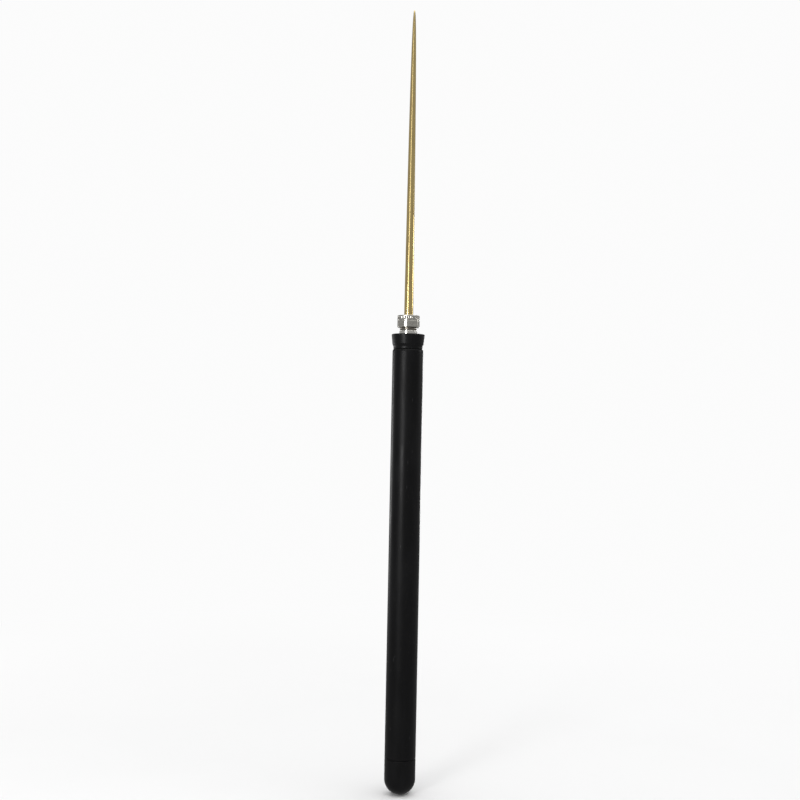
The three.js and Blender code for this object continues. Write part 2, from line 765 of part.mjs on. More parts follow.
function springSeat() {
  const back = coreFloor + SEAT;
  return rod(pocketRadius - LOOSE, back, back + SPRING_SEAT_THICKNESS, SIDES_INNER);
}

function tailSpring() {
  const back = coreFloor + 2 * SEAT + SPRING_SEAT_THICKNESS;
  const wide = pocketRadius - LOOSE - TAIL_WIRE - LOOSE;
  return coilSpring(wide, TAIL_SPRING_TOP, back, cellBase - SEAT, TAIL_WIRE, TAIL_TURNS);
}

// ---- The whole meter ------------------------------------------------------------------------------------
piece('spear', spear(), 'brass');
piece('clamp_nut', clampNut(), 'steel');
piece(
  'slip_washer',
  ring(nutHole, nutBore - LOOSE, washerBack, washerBack + WASHER_THICKNESS, SIDES_INNER),
  'tin',
);
piece('collet', collet(), 'whitePlastic');
piece('neck_fitting', neckFitting(), 'steel');
piece('spear_bush', spearBush(), 'whitePlastic');
piece('front_collar', frontCollar(), 'blackPlastic');
piece('collar_o_ring', collarRing(), 'rubber');
piece(
  'neck_washer',
  ring(collarBore, collarBore + NECK_WASHER_WIDTH, neckWasherBack, spigotEnd - SEAT, SIDES_INNER),
  'steel',
);
piece('ground_tag', groundTag(), 'tin');
piece('lock_nut', lockNut(), 'steel');
piece('handle_tube', handleTube(), 'blackPlastic');
piece('contact_block', contactBlock(), 'whitePlastic');
piece('contact_plunger', contactPlunger(), 'brass');
piece('plunger_spring', plungerSpring(), 'springSteel');
piece('plunger_terminal', plungerTerminal(), 'brass');
piece('board_sled', boardSled(), 'greyPlastic');
piece('sensor_board', sensorBoard(), 'boardGreen');
for (const [name, { box, finish }] of Object.entries(COMPONENTS)) piece(name, boardComponent(box), finish);
piece('timing_capacitor', timingCapacitor(), 'redWire');
for (const [name, place] of Object.entries(screwPlaces)) piece(name, boardScrew(place), 'steel');
piece('ground_lead', groundLead(), 'blackWire');
piece('spear_lead', spearLead(), 'redWire');
piece('cell_holder', cellHolder(), 'greyPlastic');
CELLS.forEach((name, index) => piece(name, cell(index), 'cellSleeve'));
piece('front_contact', frontContact(), 'tin');
piece('return_strip', returnStrip(), 'springSteel');
piece('threaded_insert', ring(insertBore, insertRadius, insertBack, insertFront, SIDES_INNER), 'brass');
piece('tail_cap', tailCap(), 'blackPlastic');
piece('cap_core', capCore(), 'brass');
piece('tail_o_ring', tailRing(), 'rubber');
piece('spring_seat', springSeat(), 'brass');
piece('tail_spring', tailSpring(), 'springSteel');

export default meter;
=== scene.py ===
"""Looks of a spear-type grain moisture meter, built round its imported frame. Metres, +Z from foot to point."""
import json
import math

import bmesh
import bpy
from mathutils import Matrix, Vector


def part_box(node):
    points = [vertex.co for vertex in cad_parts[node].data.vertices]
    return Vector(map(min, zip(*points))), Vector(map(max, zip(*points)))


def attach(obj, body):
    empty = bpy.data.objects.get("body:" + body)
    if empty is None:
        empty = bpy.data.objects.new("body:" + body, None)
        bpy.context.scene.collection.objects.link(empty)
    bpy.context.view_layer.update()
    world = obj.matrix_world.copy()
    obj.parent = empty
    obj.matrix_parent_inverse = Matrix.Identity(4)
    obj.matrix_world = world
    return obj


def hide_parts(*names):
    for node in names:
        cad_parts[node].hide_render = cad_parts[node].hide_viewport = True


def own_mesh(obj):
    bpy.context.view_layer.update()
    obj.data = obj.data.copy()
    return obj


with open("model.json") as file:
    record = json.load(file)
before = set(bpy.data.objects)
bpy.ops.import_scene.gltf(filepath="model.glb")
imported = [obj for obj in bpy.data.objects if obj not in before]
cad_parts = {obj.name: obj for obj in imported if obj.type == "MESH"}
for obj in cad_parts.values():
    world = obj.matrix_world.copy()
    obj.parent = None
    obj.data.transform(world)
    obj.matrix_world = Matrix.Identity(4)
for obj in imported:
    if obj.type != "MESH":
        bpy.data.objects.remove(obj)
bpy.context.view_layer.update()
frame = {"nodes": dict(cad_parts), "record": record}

bl_info = {
    "name": "Grain Moisture Meter",
    "version": (1, 0, 0),
    "blender": (4, 5, 0),
    "location": "View3D > Sidebar > Meter",
    "description": "Builds a spear-type grain moisture meter piece by piece, and a stage to show it on",
    "category": "Object",
}

BEHAVIOUR = frame["record"]["behaviour"]
SLOT_OF = {part["node"]: part["material_slot"] for part in frame["record"]["subparts"]}
BODY_OF = {node: body for body, nodes in BEHAVIOUR["bodies"].items() for node in nodes}
PITCH_OF = {rule["follows"]: 2 * math.pi * rule["ratio"] for rule in BEHAVIOUR["couplings"]}

CELLS = ("cell_rear", "cell_front")

MM = 0.001
JOIN = 1e-6  # points closer than this are one point
FULL_TURN = 2 * math.pi
STEPS_PER_PITCH = 8  # heights that a thread's turn is cut into
SHARP_EDGE = math.radians(38)
FINE = 0.6  # small pieces' share of the rounding


# ---- Sizes and colours a user may change ---------------------------------------------------------------
class MeterShape(bpy.types.PropertyGroup):
    """Sizes of the detail that the frame leaves plain"""
    sides: bpy.props.IntProperty(
        name="Sides", description="Sides of the outer turned pieces", default=128, min=48, max=256)
    inner_sides: bpy.props.IntProperty(
        name="Inner sides", description="Sides of the inner turned pieces", default=64, min=24, max=128)
    edge: bpy.props.FloatProperty(
        name="Edge", description="How far a turned corner is rounded", default=0.25 * MM, unit="LENGTH")
    taper_power: bpy.props.FloatProperty(
        name="Taper", description="Power of the distance behind the point that the spear's radius follows",
        default=0.34, min=0.1, max=1)
    knurls: bpy.props.IntProperty(
        name="Knurls", description="Straight ridges round the clamp nut", default=32, min=12, max=60)
    knurl_depth: bpy.props.FloatProperty(
        name="Knurl depth", description="Depth of the clamp nut's ridges", default=0.28 * MM, unit="LENGTH")
    thread_depth: bpy.props.FloatProperty(
        name="Thread depth", description="Depth of the fine threads", default=0.42 * MM, unit="LENGTH")
    plunger_turns: bpy.props.FloatProperty(
        name="Contact spring turns", description="Turns of the spear contact's spring", default=7, min=2)
    tail_turns: bpy.props.FloatProperty(
        name="Tail spring turns", description="Turns of the tail spring", default=6, min=2)


def base_colour(label, value):
    return bpy.props.FloatVectorProperty(
        name=label, description=f"Base colour of the {label.lower()}", subtype="COLOR", size=3, min=0, max=1,
        default=value)


class MeterColours(bpy.types.PropertyGroup):
    """Base colours of the finishes"""
    brass: base_colour("Spear brass", (0.84, 0.65, 0.28))
    tarnish: base_colour("Brass tarnish", (0.34, 0.19, 0.09))
    nut_steel: base_colour("Nut steel", (0.7, 0.68, 0.62))
    neck_steel: base_colour("Neck steel", (0.52, 0.49, 0.44))
    # Painted highlight: the ring's steel is a brighter copy of the neck steel, standing in for the light that
    # falls on the ring
    ring_steel: base_colour("Neck ring steel, painted highlight", (0.95, 0.93, 0.88))
    handle_black: base_colour("Handle black", (0.0032, 0.0032, 0.0035))
    insulator: base_colour("Insulator", (0.74, 0.71, 0.64))
    rubber: base_colour("Seal rubber", (0.012, 0.012, 0.012))
    inner_brass: base_colour("Inner brass", (0.74, 0.56, 0.26))
    inner_steel: base_colour("Inner steel", (0.52, 0.52, 0.51))
    spring_steel: base_colour("Spring steel", (0.46, 0.47, 0.49))
    carrier: base_colour("Carrier grey", (0.17, 0.18, 0.19))
    board: base_colour("Board green", (0.012, 0.095, 0.038))
    chip: base_colour("Chip black", (0.012, 0.012, 0.013))
    tin: base_colour("Tinned metal", (0.66, 0.67, 0.68))
    gold: base_colour("Plated pads", (0.83, 0.62, 0.28))
    cell: base_colour("Cell sleeve", (0.035, 0.09, 0.2))
    cell_band: base_colour("Cell band", (0.62, 0.33, 0.1))
    sleeve: base_colour("Capacitor sleeve", (0.02, 0.045, 0.13))
    wire_red: base_colour("Red wire", (0.42, 0.02, 0.016))
    wire_black: base_colour("Black wire", (0.014, 0.014, 0.015))


def light_power(label, place, value):
    return bpy.props.FloatProperty(
        name=label, description=f"Watts of the {place} light", default=value, min=0)


class MeterStage(bpy.types.PropertyGroup):
    """Camera, floor and lights"""
    distance: bpy.props.FloatProperty(
        name="Distance", description="Camera to the meter's axis", default=1.0, unit="LENGTH")
    elevation: bpy.props.FloatProperty(
        name="Elevation", description="Camera above the aim, as an angle", default=math.radians(-1.5),
        subtype="ANGLE")
    roll: bpy.props.FloatProperty(
        name="Roll", description="Camera turned about its own line of sight", default=math.radians(1.13),
        subtype="ANGLE")
    lens: bpy.props.FloatProperty(name="Lens", description="Focal length in millimetres", default=53.46)
    aim_side: bpy.props.FloatProperty(
        name="Aim to the side", description="Aim point's distance from the axis", default=-5.9 * MM,
        unit="LENGTH")
    aim_height: bpy.props.FloatProperty(
        name="Aim height", description="Aim point's height", default=328.8 * MM, unit="LENGTH")
    sky: bpy.props.FloatProperty(
        name="Sky", description="Brightness of the surroundings", default=0.34, min=0)
    key: light_power("Spear light", "upper front left", 1.3)
    handle_key: light_power("Handle light", "lower front left", 6.4)
    rear: light_power("Rear light", "rear left", 1.7)
    back: light_power("Back light", "rear right", 1.95)
    side: light_power("Side light", "right-hand", 0.8)
    top: light_power("Top light", "overhead", 110)
    floor_tone: bpy.props.FloatProperty(
        name="Floor", description="Paleness of the floor", default=0.86, min=0, max=1)
    backdrop: bpy.props.FloatProperty(
        name="Backdrop", description="Brightness of the backdrop as the camera sees it", default=0.97, min=0)


def shape():
    return bpy.context.scene.meter_shape


def colour(name):
    return tuple(getattr(bpy.context.scene.meter_colours, name))


# ---- Finishes ------------------------------------------------------------------------------------------
def made_name(finish_name):
    """Name of a finish's material, unlike those of the frame's own plain materials."""
    return f"{finish_name}_made"


class Finish:
    """A procedural material built round one principled shader, in the piece's own metres."""

    def __init__(self, name, base, roughness, metallic=0.0, **settings):
        self.material = bpy.data.materials.new(made_name(name))
        self.material.use_nodes = True
        self.nodes = self.material.node_tree.nodes
        self.shader = self.nodes["Principled BSDF"]
        self.place = self.nodes.new("ShaderNodeTexCoord").outputs["Object"]
        self.base = (*base, 1)
        self.shader.inputs["Base Color"].default_value = self.base
        self.shader.inputs["Roughness"].default_value = roughness
        self.shader.inputs["Metallic"].default_value = metallic
        for socket, value in settings.items():
            self.shader.inputs[socket.replace("_", " ")].default_value = value

    def join(self, output, socket):
        self.material.node_tree.links.new(output, socket)

    def node(self, kind, inputs=None, **settings):
        made = self.nodes.new(kind)
        for name, value in settings.items():
            setattr(made, name, value)
        for name, value in (inputs or {}).items():
            if isinstance(value, bpy.types.NodeSocket):
                self.join(value, made.inputs[name])
            else:
                made.inputs[name].default_value = value
        return made

    def stretched(self, per_mm, turn=0.0):
        """Coordinates scaled to so many pattern steps a millimetre along X, Y and Z, then turned about X."""
        scale = tuple(steps / MM for steps in per_mm)
        inputs = {"Vector": self.place, "Scale": scale, "Rotation": (turn, 0, 0)}
        return self.node("ShaderNodeMapping", inputs).outputs["Vector"]

    def grain(self, per_mm, detail=3.0, distortion=0.0):
        inputs = {"Vector": self.stretched(per_mm), "Scale": 1.0, "Detail": detail, "Distortion": distortion}
        return self.node("ShaderNodeTexNoise", inputs).outputs["Fac"]

    def specks(self, per_mm):
        """Distance from scattered points, in pattern steps."""
        inputs = {"Vector": self.stretched(per_mm), "Scale": 1.0, "Randomness": 1.0}
        return self.node("ShaderNodeTexVoronoi", inputs).outputs["Distance"]

    def span(self, value, low, high, to_low=0.0, to_high=1.0):
        inputs = {"Value": value, "From Min": low, "From Max": high, "To Min": to_low, "To Max": to_high}
        return self.node("ShaderNodeMapRange", inputs, interpolation_type="SMOOTHSTEP").outputs["Result"]

    def times(self, first, second):
        made = self.node("ShaderNodeMath", operation="MULTIPLY")
        self.join(first, made.inputs[0])
        self.join(second, made.inputs[1])
        return made.outputs["Value"]

    def along(self, axis):
        """The coordinate along X, Y or Z."""
        return self.node("ShaderNodeSeparateXYZ", {"Vector": self.place}).outputs[axis]

    def tint(self, share, other):
        """Blends the colour so far towards another one by a share that varies over the surface."""
        FACTOR, FIRST, SECOND, RESULT = 0, 6, 7, 2  # the mix node's sockets for colours
        socket = self.shader.inputs["Base Color"]
        under = socket.links[0].from_socket if socket.is_linked else self.base
        mix = self.node("ShaderNodeMix", {FACTOR: share, FIRST: under, SECOND: (*other, 1)}, data_type="RGBA")
        self.join(mix.outputs[RESULT], socket)

    def shaded(self, share, factor):
        """Darkens or lightens the base colour by a share that varies over the surface."""
        self.tint(share, tuple(min(1.0, part * factor) for part in self.base[:3]))

    def rough(self, value, low, high):
        self.join(self.span(value, 0.3, 0.7, low, high), self.shader.inputs["Roughness"])

    def bump(self, height, depth):
        """Adds relief of that depth in metres."""
        made = self.node("ShaderNodeBump", {"Height": height, "Distance": depth, "Strength": 1.0})
        socket = self.shader.inputs["Normal"]
        if socket.is_linked:
            self.join(socket.links[0].from_socket, made.inputs["Normal"])
        self.join(made.outputs["Normal"], socket)


def darker(base, factor):
    return tuple(part * factor for part in base)


def spear_brass():
    """Drawn brass: long fine lines, and tarnish in clouds and streaked spots."""
    made = Finish("spear_brass", colour("brass"), 0.2, 1.0, Coat_Weight=0.12, Coat_Roughness=0.1)
    drawn = made.grain((5, 5, 0.05), detail=4)
    clouds = made.grain((0.22, 0.22, 0.035), detail=5, distortion=0.6)
    spots = made.specks((0.42, 0.42, 0.05))
    made.shaded(made.span(drawn, 0.3, 0.72), 0.84)
    made.tint(made.span(clouds, 0.52, 0.72, 0, 0.28), colour("tarnish"))
    made.tint(made.span(spots, 0.12, 0.04, 0, 0.4), colour("tarnish"))
    made.rough(made.grain((1.6, 1.6, 0.08), detail=5), 0.14, 0.24)
    made.bump(drawn, 0.004 * MM)
    made.bump(made.grain((0.6, 0.6, 0.1)), 0.01 * MM)
    return made.material


def turned_steel(name, base, rough_low, rough_high, dirt):
    """Lathe-turned steel: fine rings round the axis, and dirt in patches and spots."""
    STAIN = (0.11, 0.095, 0.075)
    SPOT = (0.06, 0.045, 0.035)
    made = Finish(name, base, rough_low, 1.0)
    rings = made.grain((0.06, 0.06, 7), detail=2)
    made.shaded(made.span(rings, 0.35, 0.68), 0.8)
    made.tint(made.span(made.grain((0.7, 0.7, 0.7), detail=5), 0.5, 0.74, 0, dirt), STAIN)
    made.tint(made.span(made.specks((0.9, 0.9, 0.9)), 0.12, 0.04, 0, 0.6), SPOT)
    made.rough(made.grain((1.2, 1.2, 1.2), detail=4), rough_low, rough_high)
    made.bump(rings, 0.008 * MM)
    return made.material


def handle_black():
    """Satin black: a fine skin, rubbed patches, long scratches and specks of dust."""
    SCRATCH = (0.07, 0.07, 0.072)
    DUST = (0.085, 0.083, 0.076)
    made = Finish("handle_black", colour("handle_black"), 0.34, Specular_IOR_Level=0.14)
    fine = made.grain((6, 6, 6), detail=2)
    rubbed = made.grain((0.05, 0.05, 0.012), detail=6, distortion=0.5)
    scratches = made.specks((0.35, 0.35, 0.035))
    made.shaded(made.span(rubbed, 0.4, 0.7), 1.9)
    made.tint(made.span(scratches, 0.07, 0.02, 0, 0.6), SCRATCH)
    made.tint(made.span(made.specks((0.5, 0.5, 0.5)), 0.11, 0.03, 0, 0.5), DUST)
    made.rough(made.grain((0.11, 0.11, 0.03), detail=6), 0.29, 0.44)
    made.bump(fine, 0.007 * MM)
    made.bump(made.grain((0.3, 0.3, 0.05)), 0.012 * MM)
    return made.material


def moulded(name, base, rough_low, rough_high, grain_depth=0.01):
    """Moulded plastic or rubber: fine pebbled skin with slight mottling."""
    made = Finish(name, base, rough_low)
    skin = made.grain((5, 5, 5), detail=2)
    made.shaded(made.span(made.grain((0.25, 0.25, 0.25), detail=5), 0.38, 0.7), 0.72)
    made.tint(made.span(made.specks((0.8, 0.8, 0.8)), 0.09, 0.03, 0, 0.4), darker(base, 0.45))
    made.rough(made.grain((0.6, 0.6, 0.6), detail=4), rough_low, rough_high)
    made.bump(skin, grain_depth * MM)
    return made.material


def turned_metal(name, base, rough_low, rough_high):
    """Small bright metal pieces: rings or rolling lines, and a little staining."""
    made = Finish(name, base, rough_low, 1.0)
    lines = made.grain((0.3, 0.3, 8), detail=2)
    made.shaded(made.span(lines, 0.35, 0.7), 0.82)
    made.tint(made.span(made.grain((0.5, 0.5, 0.5), detail=5), 0.54, 0.76, 0, 0.5), darker(base, 0.4))
    made.rough(made.grain((1.5, 1.5, 1.5), detail=3), rough_low, rough_high)
    made.bump(lines, 0.006 * MM)
    return made.material


def board_green():
    """Solder mask over copper tracks, which show as paler and slightly raised bands."""
    OVER_COPPER = (0.03, 0.2, 0.07)
    made = Finish("board_green", colour("board"), 0.3, Coat_Weight=0.3, Coat_Roughness=0.2)
    layout = {"Vector": made.stretched((0.6, 0.6, 0.6), math.pi / 2), "Scale": 1.0, "Mortar Size": 0.09,
              "Brick Width": 2.6, "Row Height": 0.8, "Mortar Smooth": 0.2}
    tracks = made.node("ShaderNodeTexBrick", layout).outputs["Fac"]
    made.tint(made.span(tracks, 0.2, 0.8, 0, 0.75), OVER_COPPER)
    made.shaded(made.span(made.grain((0.3, 0.3, 0.3), detail=4), 0.4, 0.7), 0.7)
    made.rough(made.grain((1.5, 1.5, 1.5)), 0.24, 0.4)
    made.bump(tracks, 0.035 * MM)
    return made.material


def cell_sleeve():
    """Shrunk plastic sleeve with a coloured band at the plus end of each cell."""
    BAND_START = 0.72  # share of the cell's length
    BLEND = 0.1 * MM
    made = Finish("cell_sleeve", colour("cell"), 0.24, 0.35, Coat_Weight=0.5, Coat_Roughness=0.1)
    height = made.along("Z")
    for node in CELLS:
        low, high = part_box(node)
        band = low.z + BAND_START * (high.z - low.z)
        inside = made.times(made.span(height, band, band + BLEND), made.span(height, high.z, high.z - BLEND))
        made.tint(inside, colour("cell_band"))
    made.shaded(made.span(made.grain((0.2, 0.2, 0.02), detail=5), 0.45, 0.7, 0, 0.6), 0.6)
    made.rough(made.grain((0.8, 0.8, 0.1), detail=4), 0.18, 0.34)
    made.bump(made.grain((0.5, 0.5, 0.06)), 0.03 * MM)
    return made.material


FINISHES = {
    "spear_brass": spear_brass,
    "nut_steel": lambda: turned_steel("nut_steel", colour("nut_steel"), 0.1, 0.2, 0.5),
    "neck_steel": lambda: turned_steel("neck_steel", colour("neck_steel"), 0.16, 0.32, 0.75),
    # Painted highlight: the neck steel again, made brighter, for the ring's faces
    "ring_steel": lambda: turned_steel("ring_steel", colour("ring_steel"), 0.1, 0.18, 0.15),
    "handle_black": handle_black,
    "insulator": lambda: moulded("insulator", colour("insulator"), 0.38, 0.55),
    "seal_rubber": lambda: moulded("seal_rubber", colour("rubber"), 0.6, 0.85, 0.02),
    "inner_brass": lambda: turned_metal("inner_brass", colour("inner_brass"), 0.2, 0.38),
    "inner_steel": lambda: turned_metal("inner_steel", colour("inner_steel"), 0.22, 0.42),
    "spring_steel": lambda: turned_metal("spring_steel", colour("spring_steel"), 0.26, 0.42),
    "carrier_grey": lambda: moulded("carrier_grey", colour("carrier"), 0.45, 0.62, 0.016),
    "board_green": board_green,
    "chip_black": lambda: moulded("chip_black", colour("chip"), 0.42, 0.62, 0.008),
    "tinned_can": lambda: turned_metal("tinned_can", colour("tin"), 0.18, 0.36),
    "plated_gold": lambda: turned_metal("plated_gold", colour("gold"), 0.2, 0.36),
    "cell_sleeve": cell_sleeve,
    "capacitor_sleeve": lambda: moulded("capacitor_sleeve", colour("sleeve"), 0.26, 0.42, 0.004),
    "wire_red": lambda: moulded("wire_red", colour("wire_red"), 0.38, 0.55),
    "wire_black": lambda: moulded("wire_black", colour("wire_black"), 0.38, 0.55),
}


def finish(name):
    """The named material, made the first time it is asked for."""
    return bpy.data.materials.get(made_name(name)) or FINISHES[name]()


# ---- Mesh work -----------------------------------------------------------------------------------------
def outline_of(node):
    """Half section of a turned frame node: (radius, height) points, up the outside and down the inside,
    and whether the line closes on itself."""
    mesh = bmesh.new()
    mesh.from_mesh(frame["nodes"][node].data)
    bmesh.ops.remove_doubles(mesh, verts=mesh.verts, dist=JOIN)
    for normal in ((0, 1, 0), (1, 0, 0)):
        everything = mesh.verts[:] + mesh.edges[:] + mesh.faces[:]
        bmesh.ops.bisect_plane(mesh, geom=everything, dist=JOIN, plane_co=(0, 0, 0), plane_no=normal)
    links = {}
    for edge in mesh.edges:
        if all(abs(vert.co.x) < JOIN and vert.co.y < JOIN for vert in edge.verts):
            first, second = edge.verts
            links.setdefault(first, []).append(second)
            links.setdefault(second, []).append(first)
    ends = [vert for vert, near in links.items() if len(near) == 1]
    chain = [ends[0] if ends else next(iter(links))]
    while True:
        onward = [vert for vert in links[chain[-1]] if vert not in chain[-2:]]
        if not onward or onward[0] is chain[0]:
            break
        chain.append(onward[0])
    points = [Vector((max(0.0, -vert.co.y), vert.co.z)) for vert in chain]
    mesh.free()
    return upright(straightened(points, not ends)), not ends


def vectors(pairs):
    return [Vector(pair) for pair in pairs]


def straightened(points, closed):
    """The points without those that lie on the line between their neighbours."""
    kept = []
    for i, here in enumerate(points):
        inner = closed or 0 < i < len(points) - 1
        before, after = points[i - 1], points[(i + 1) % len(points)]
        span = after - before
        if inner and abs(span.cross(here - before)) < JOIN * span.length:
            continue
        kept.append(here)
    return kept


def upright(points):
    area = sum(points[i - 1].cross(point) for i, point in enumerate(points))
    return points if area > 0 else points[::-1]


def eased(points, closed, reach, steps=3):
    """The outline with its corners rounded, no further than reach along each side."""
    SHARE_OF_SIDE = 0.45  # most of a side that one corner may take
    rounded = []
    for i, here in enumerate(points):
        if not closed and i in (0, len(points) - 1):
            rounded.append(here)
            continue
        back, on = points[i - 1] - here, points[(i + 1) % len(points)] - here
        trim = min(reach, SHARE_OF_SIDE * back.length, SHARE_OF_SIDE * on.length)
        start, end = here + trim * back.normalized(), here + trim * on.normalized()
        for step in range(steps + 1):
            share = step / steps
            rounded.append((1 - share) ** 2 * start + 2 * share * (1 - share) * here + share**2 * end)
    return rounded


def refined(points, closed, low, high, step):
    """The outline with its upright stretches between two heights cut into steps."""
    fine = []
    count = len(points)
    for i, here in enumerate(points):
        fine.append(here)
        if not closed and i == count - 1:
            break
        after = points[(i + 1) % count]
        middle = (here.y + after.y) / 2
        pieces = math.ceil(abs(after.y - here.y) / step)
        if low < middle < high and pieces > 1:
            fine.extend(here.lerp(after, part / pieces) for part in range(1, pieces))
    return fine


def thread(pitch, depth, low, high, runout):
    """Radius change of a right-hand thread between two heights: up to depth inwards, fading at its ends."""
    FLANK = 1.6  # steeper than 1 leaves a flat root

    def change(angle, radius, height):
        fade = min(1.0, max(0.0, (height - low) / runout), max(0.0, (high - height) / runout))
        phase = (height / pitch - angle / FULL_TURN) % 1.0
        return -depth * fade * min(1.0, FLANK * abs(2 * phase - 1))

    return change


def as_object(mesh, name, material):
    """A mesh object with smooth faces, kept sharp across hard edges."""
    bmesh.ops.recalc_face_normals(mesh, faces=mesh.faces)
    data = bpy.data.meshes.new(name)
    mesh.to_mesh(data)
    mesh.free()
    data.materials.append(finish(material))
    made = bpy.data.objects.new(name, data)
    bpy.context.scene.collection.objects.link(made)
    data.shade_smooth()
    data.set_sharp_from_angle(angle=SHARP_EDGE)
    weighted = made.modifiers.new("weighted_normal", "WEIGHTED_NORMAL")
    weighted.keep_sharp = True
    return made


def lathe(mesh, points, closed, sides, change=None):
    """Adds a body swept round Z to a mesh. change(angle, radius, height) may move a point in or out."""
    rings = []
    for radius, height in points:
        if radius < JOIN:
            rings.append([mesh.verts.new((0, 0, height))])
            continue
        ring = []
        for side in range(sides):
            angle = FULL_TURN * side / sides
            reach = radius + (change(angle, radius, height) if change else 0)
            ring.append(mesh.verts.new((reach * math.sin(angle), -reach * math.cos(angle), height)))
        rings.append(ring)
    for lower, upper in zip(rings, rings[1:] + (rings[:1] if closed else [])):
        for side in range(sides):
            after = side + 1
            corners = [lower[side % len(lower)], lower[after % sides % len(lower)],
                       upper[after % sides % len(upper)], upper[side % len(upper)]]
            mesh.faces.new(list(dict.fromkeys(corners)))


def spun(name, points, closed, sides, material, change=None):
    mesh = bmesh.new()
    lathe(mesh, points, closed, sides, change)
    return as_object(mesh, name, material)


def sweep(mesh, path, radius, sides):
    """Adds a round wire along a path to a mesh, with its ends closed."""
    across = (path[1] - path[0]).orthogonal().normalized()
    angles = [FULL_TURN * side / sides for side in range(sides)]
    rings = []
    for i, place in enumerate(path):
        ahead = (path[min(i + 1, len(path) - 1)] - path[max(i - 1, 0)]).normalized()
        across = (across - across.dot(ahead) * ahead).normalized()
        beside = ahead.cross(across)
        round_wire = [radius * (math.cos(a) * across + math.sin(a) * beside) for a in angles]
        rings.append([mesh.verts.new(place + spoke) for spoke in round_wire])
    for lower, upper in zip(rings, rings[1:]):
        for side in range(sides):
            after = (side + 1) % sides
            mesh.faces.new((lower[side], lower[after], upper[after], upper[side]))
    mesh.faces.new(rings[0][::-1])
    mesh.faces.new(rings[-1])


def slab(mesh, low, high, width=0.0):
    """Adds a block between two corners to a mesh, its edges broken by width."""
    made = bmesh.ops.create_cube(mesh, size=1)["verts"]
    middle, size = (Vector(low) + Vector(high)) / 2, Vector(high) - Vector(low)
    for vert in made:
        vert.co = middle + Vector(part * side for part, side in zip(vert.co, size))
    if width:
        edges = list({edge for vert in made for edge in vert.link_edges})
        bmesh.ops.bevel(mesh, geom=edges, offset=width, segments=2, profile=0.5, affect="EDGES")


def stood(mesh, place):
    """Turns a mesh made about Z so that it stands up along Y, at a place."""
    upright_matrix = Matrix.Rotation(-math.pi / 2, 4, "X")
    bmesh.ops.transform(mesh, matrix=Matrix.Translation(place) @ upright_matrix, verts=mesh.verts)


def painted(made, material, test):
    """Gives the faces whose middle passes the test another finish."""
    made.data.materials.append(finish(material))
    for face in made.data.polygons:
        if test(face.center):
            face.material_index = len(made.data.materials) - 1
    return made


def stand_for(made, node):
    """The piece rides on a frame node's body and is shown in its place."""
    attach(made, BODY_OF[node])
    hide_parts(node)
    return made


def trim_on(made, node):
    """A smaller piece that rides with a frame node's body."""
    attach(made, BODY_OF[node])
    return made


def turned_piece(node, sides=None, reach=None, change=None, band=None):
    """A turned frame node again, with rounded corners, more sides and any thread or knurl."""
    points, closed = outline_of(node)
    points = eased(points, closed, reach or shape().edge)
    if band:
        points = refined(points, closed, *band)
    made = spun(f"{node}_turned", points, closed, sides or shape().inner_sides, SLOT_OF[node], change)
    return stand_for(made, node)


def trimmed_piece(node, width):
    """A moulded or cut frame node again, with its flat faces made whole and its edges broken."""
    FLAT = math.radians(1)
    mesh = bmesh.new()
    mesh.from_mesh(frame["nodes"][node].data)
    bmesh.ops.remove_doubles(mesh, verts=mesh.verts, dist=JOIN)
    bmesh.ops.dissolve_limit(mesh, angle_limit=FLAT, verts=mesh.verts, edges=mesh.edges)
    made = as_object(mesh, f"{node}_trimmed", SLOT_OF[node])
    broken = made.modifiers.new("broken_edges", "BEVEL")
    broken.width = width
    broken.segments = 2
    broken.limit_method = "ANGLE"
    broken.angle_limit = SHARP_EDGE
    made.modifiers.move(1, 0)  # before the weighted normals
    return stand_for(made, node)


# ---- Operators, one for each group of pieces -----------------------------------------------------------
class METER_OT_spear(bpy.types.Operator):
    """Pointed brass spear with its smooth taper"""
    bl_idname = "meter.spear"
    bl_label = "Spear"

    def execute(self, context):
        STATIONS = 72
        CHAMFER = 1.5  # times the edge, at the hidden end
        low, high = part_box("spear")
        radius, exposed = high.x, high.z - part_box("clamp_nut")[1].z
        chamfer = CHAMFER * shape().edge
        points = [Vector((0, low.z)), Vector((radius - chamfer, low.z)), Vector((radius, low.z + chamfer))]
        for station in range(STATIONS):
            share = (1 - station / STATIONS) ** 2  # stations crowd towards the point
            points.append(Vector((radius * share ** shape().taper_power, high.z - exposed * share)))
        points.append(Vector((0, high.z)))
        stand_for(spun("spear_turned", points, False, shape().sides, SLOT_OF["spear"]), "spear")
        return {"FINISHED"}


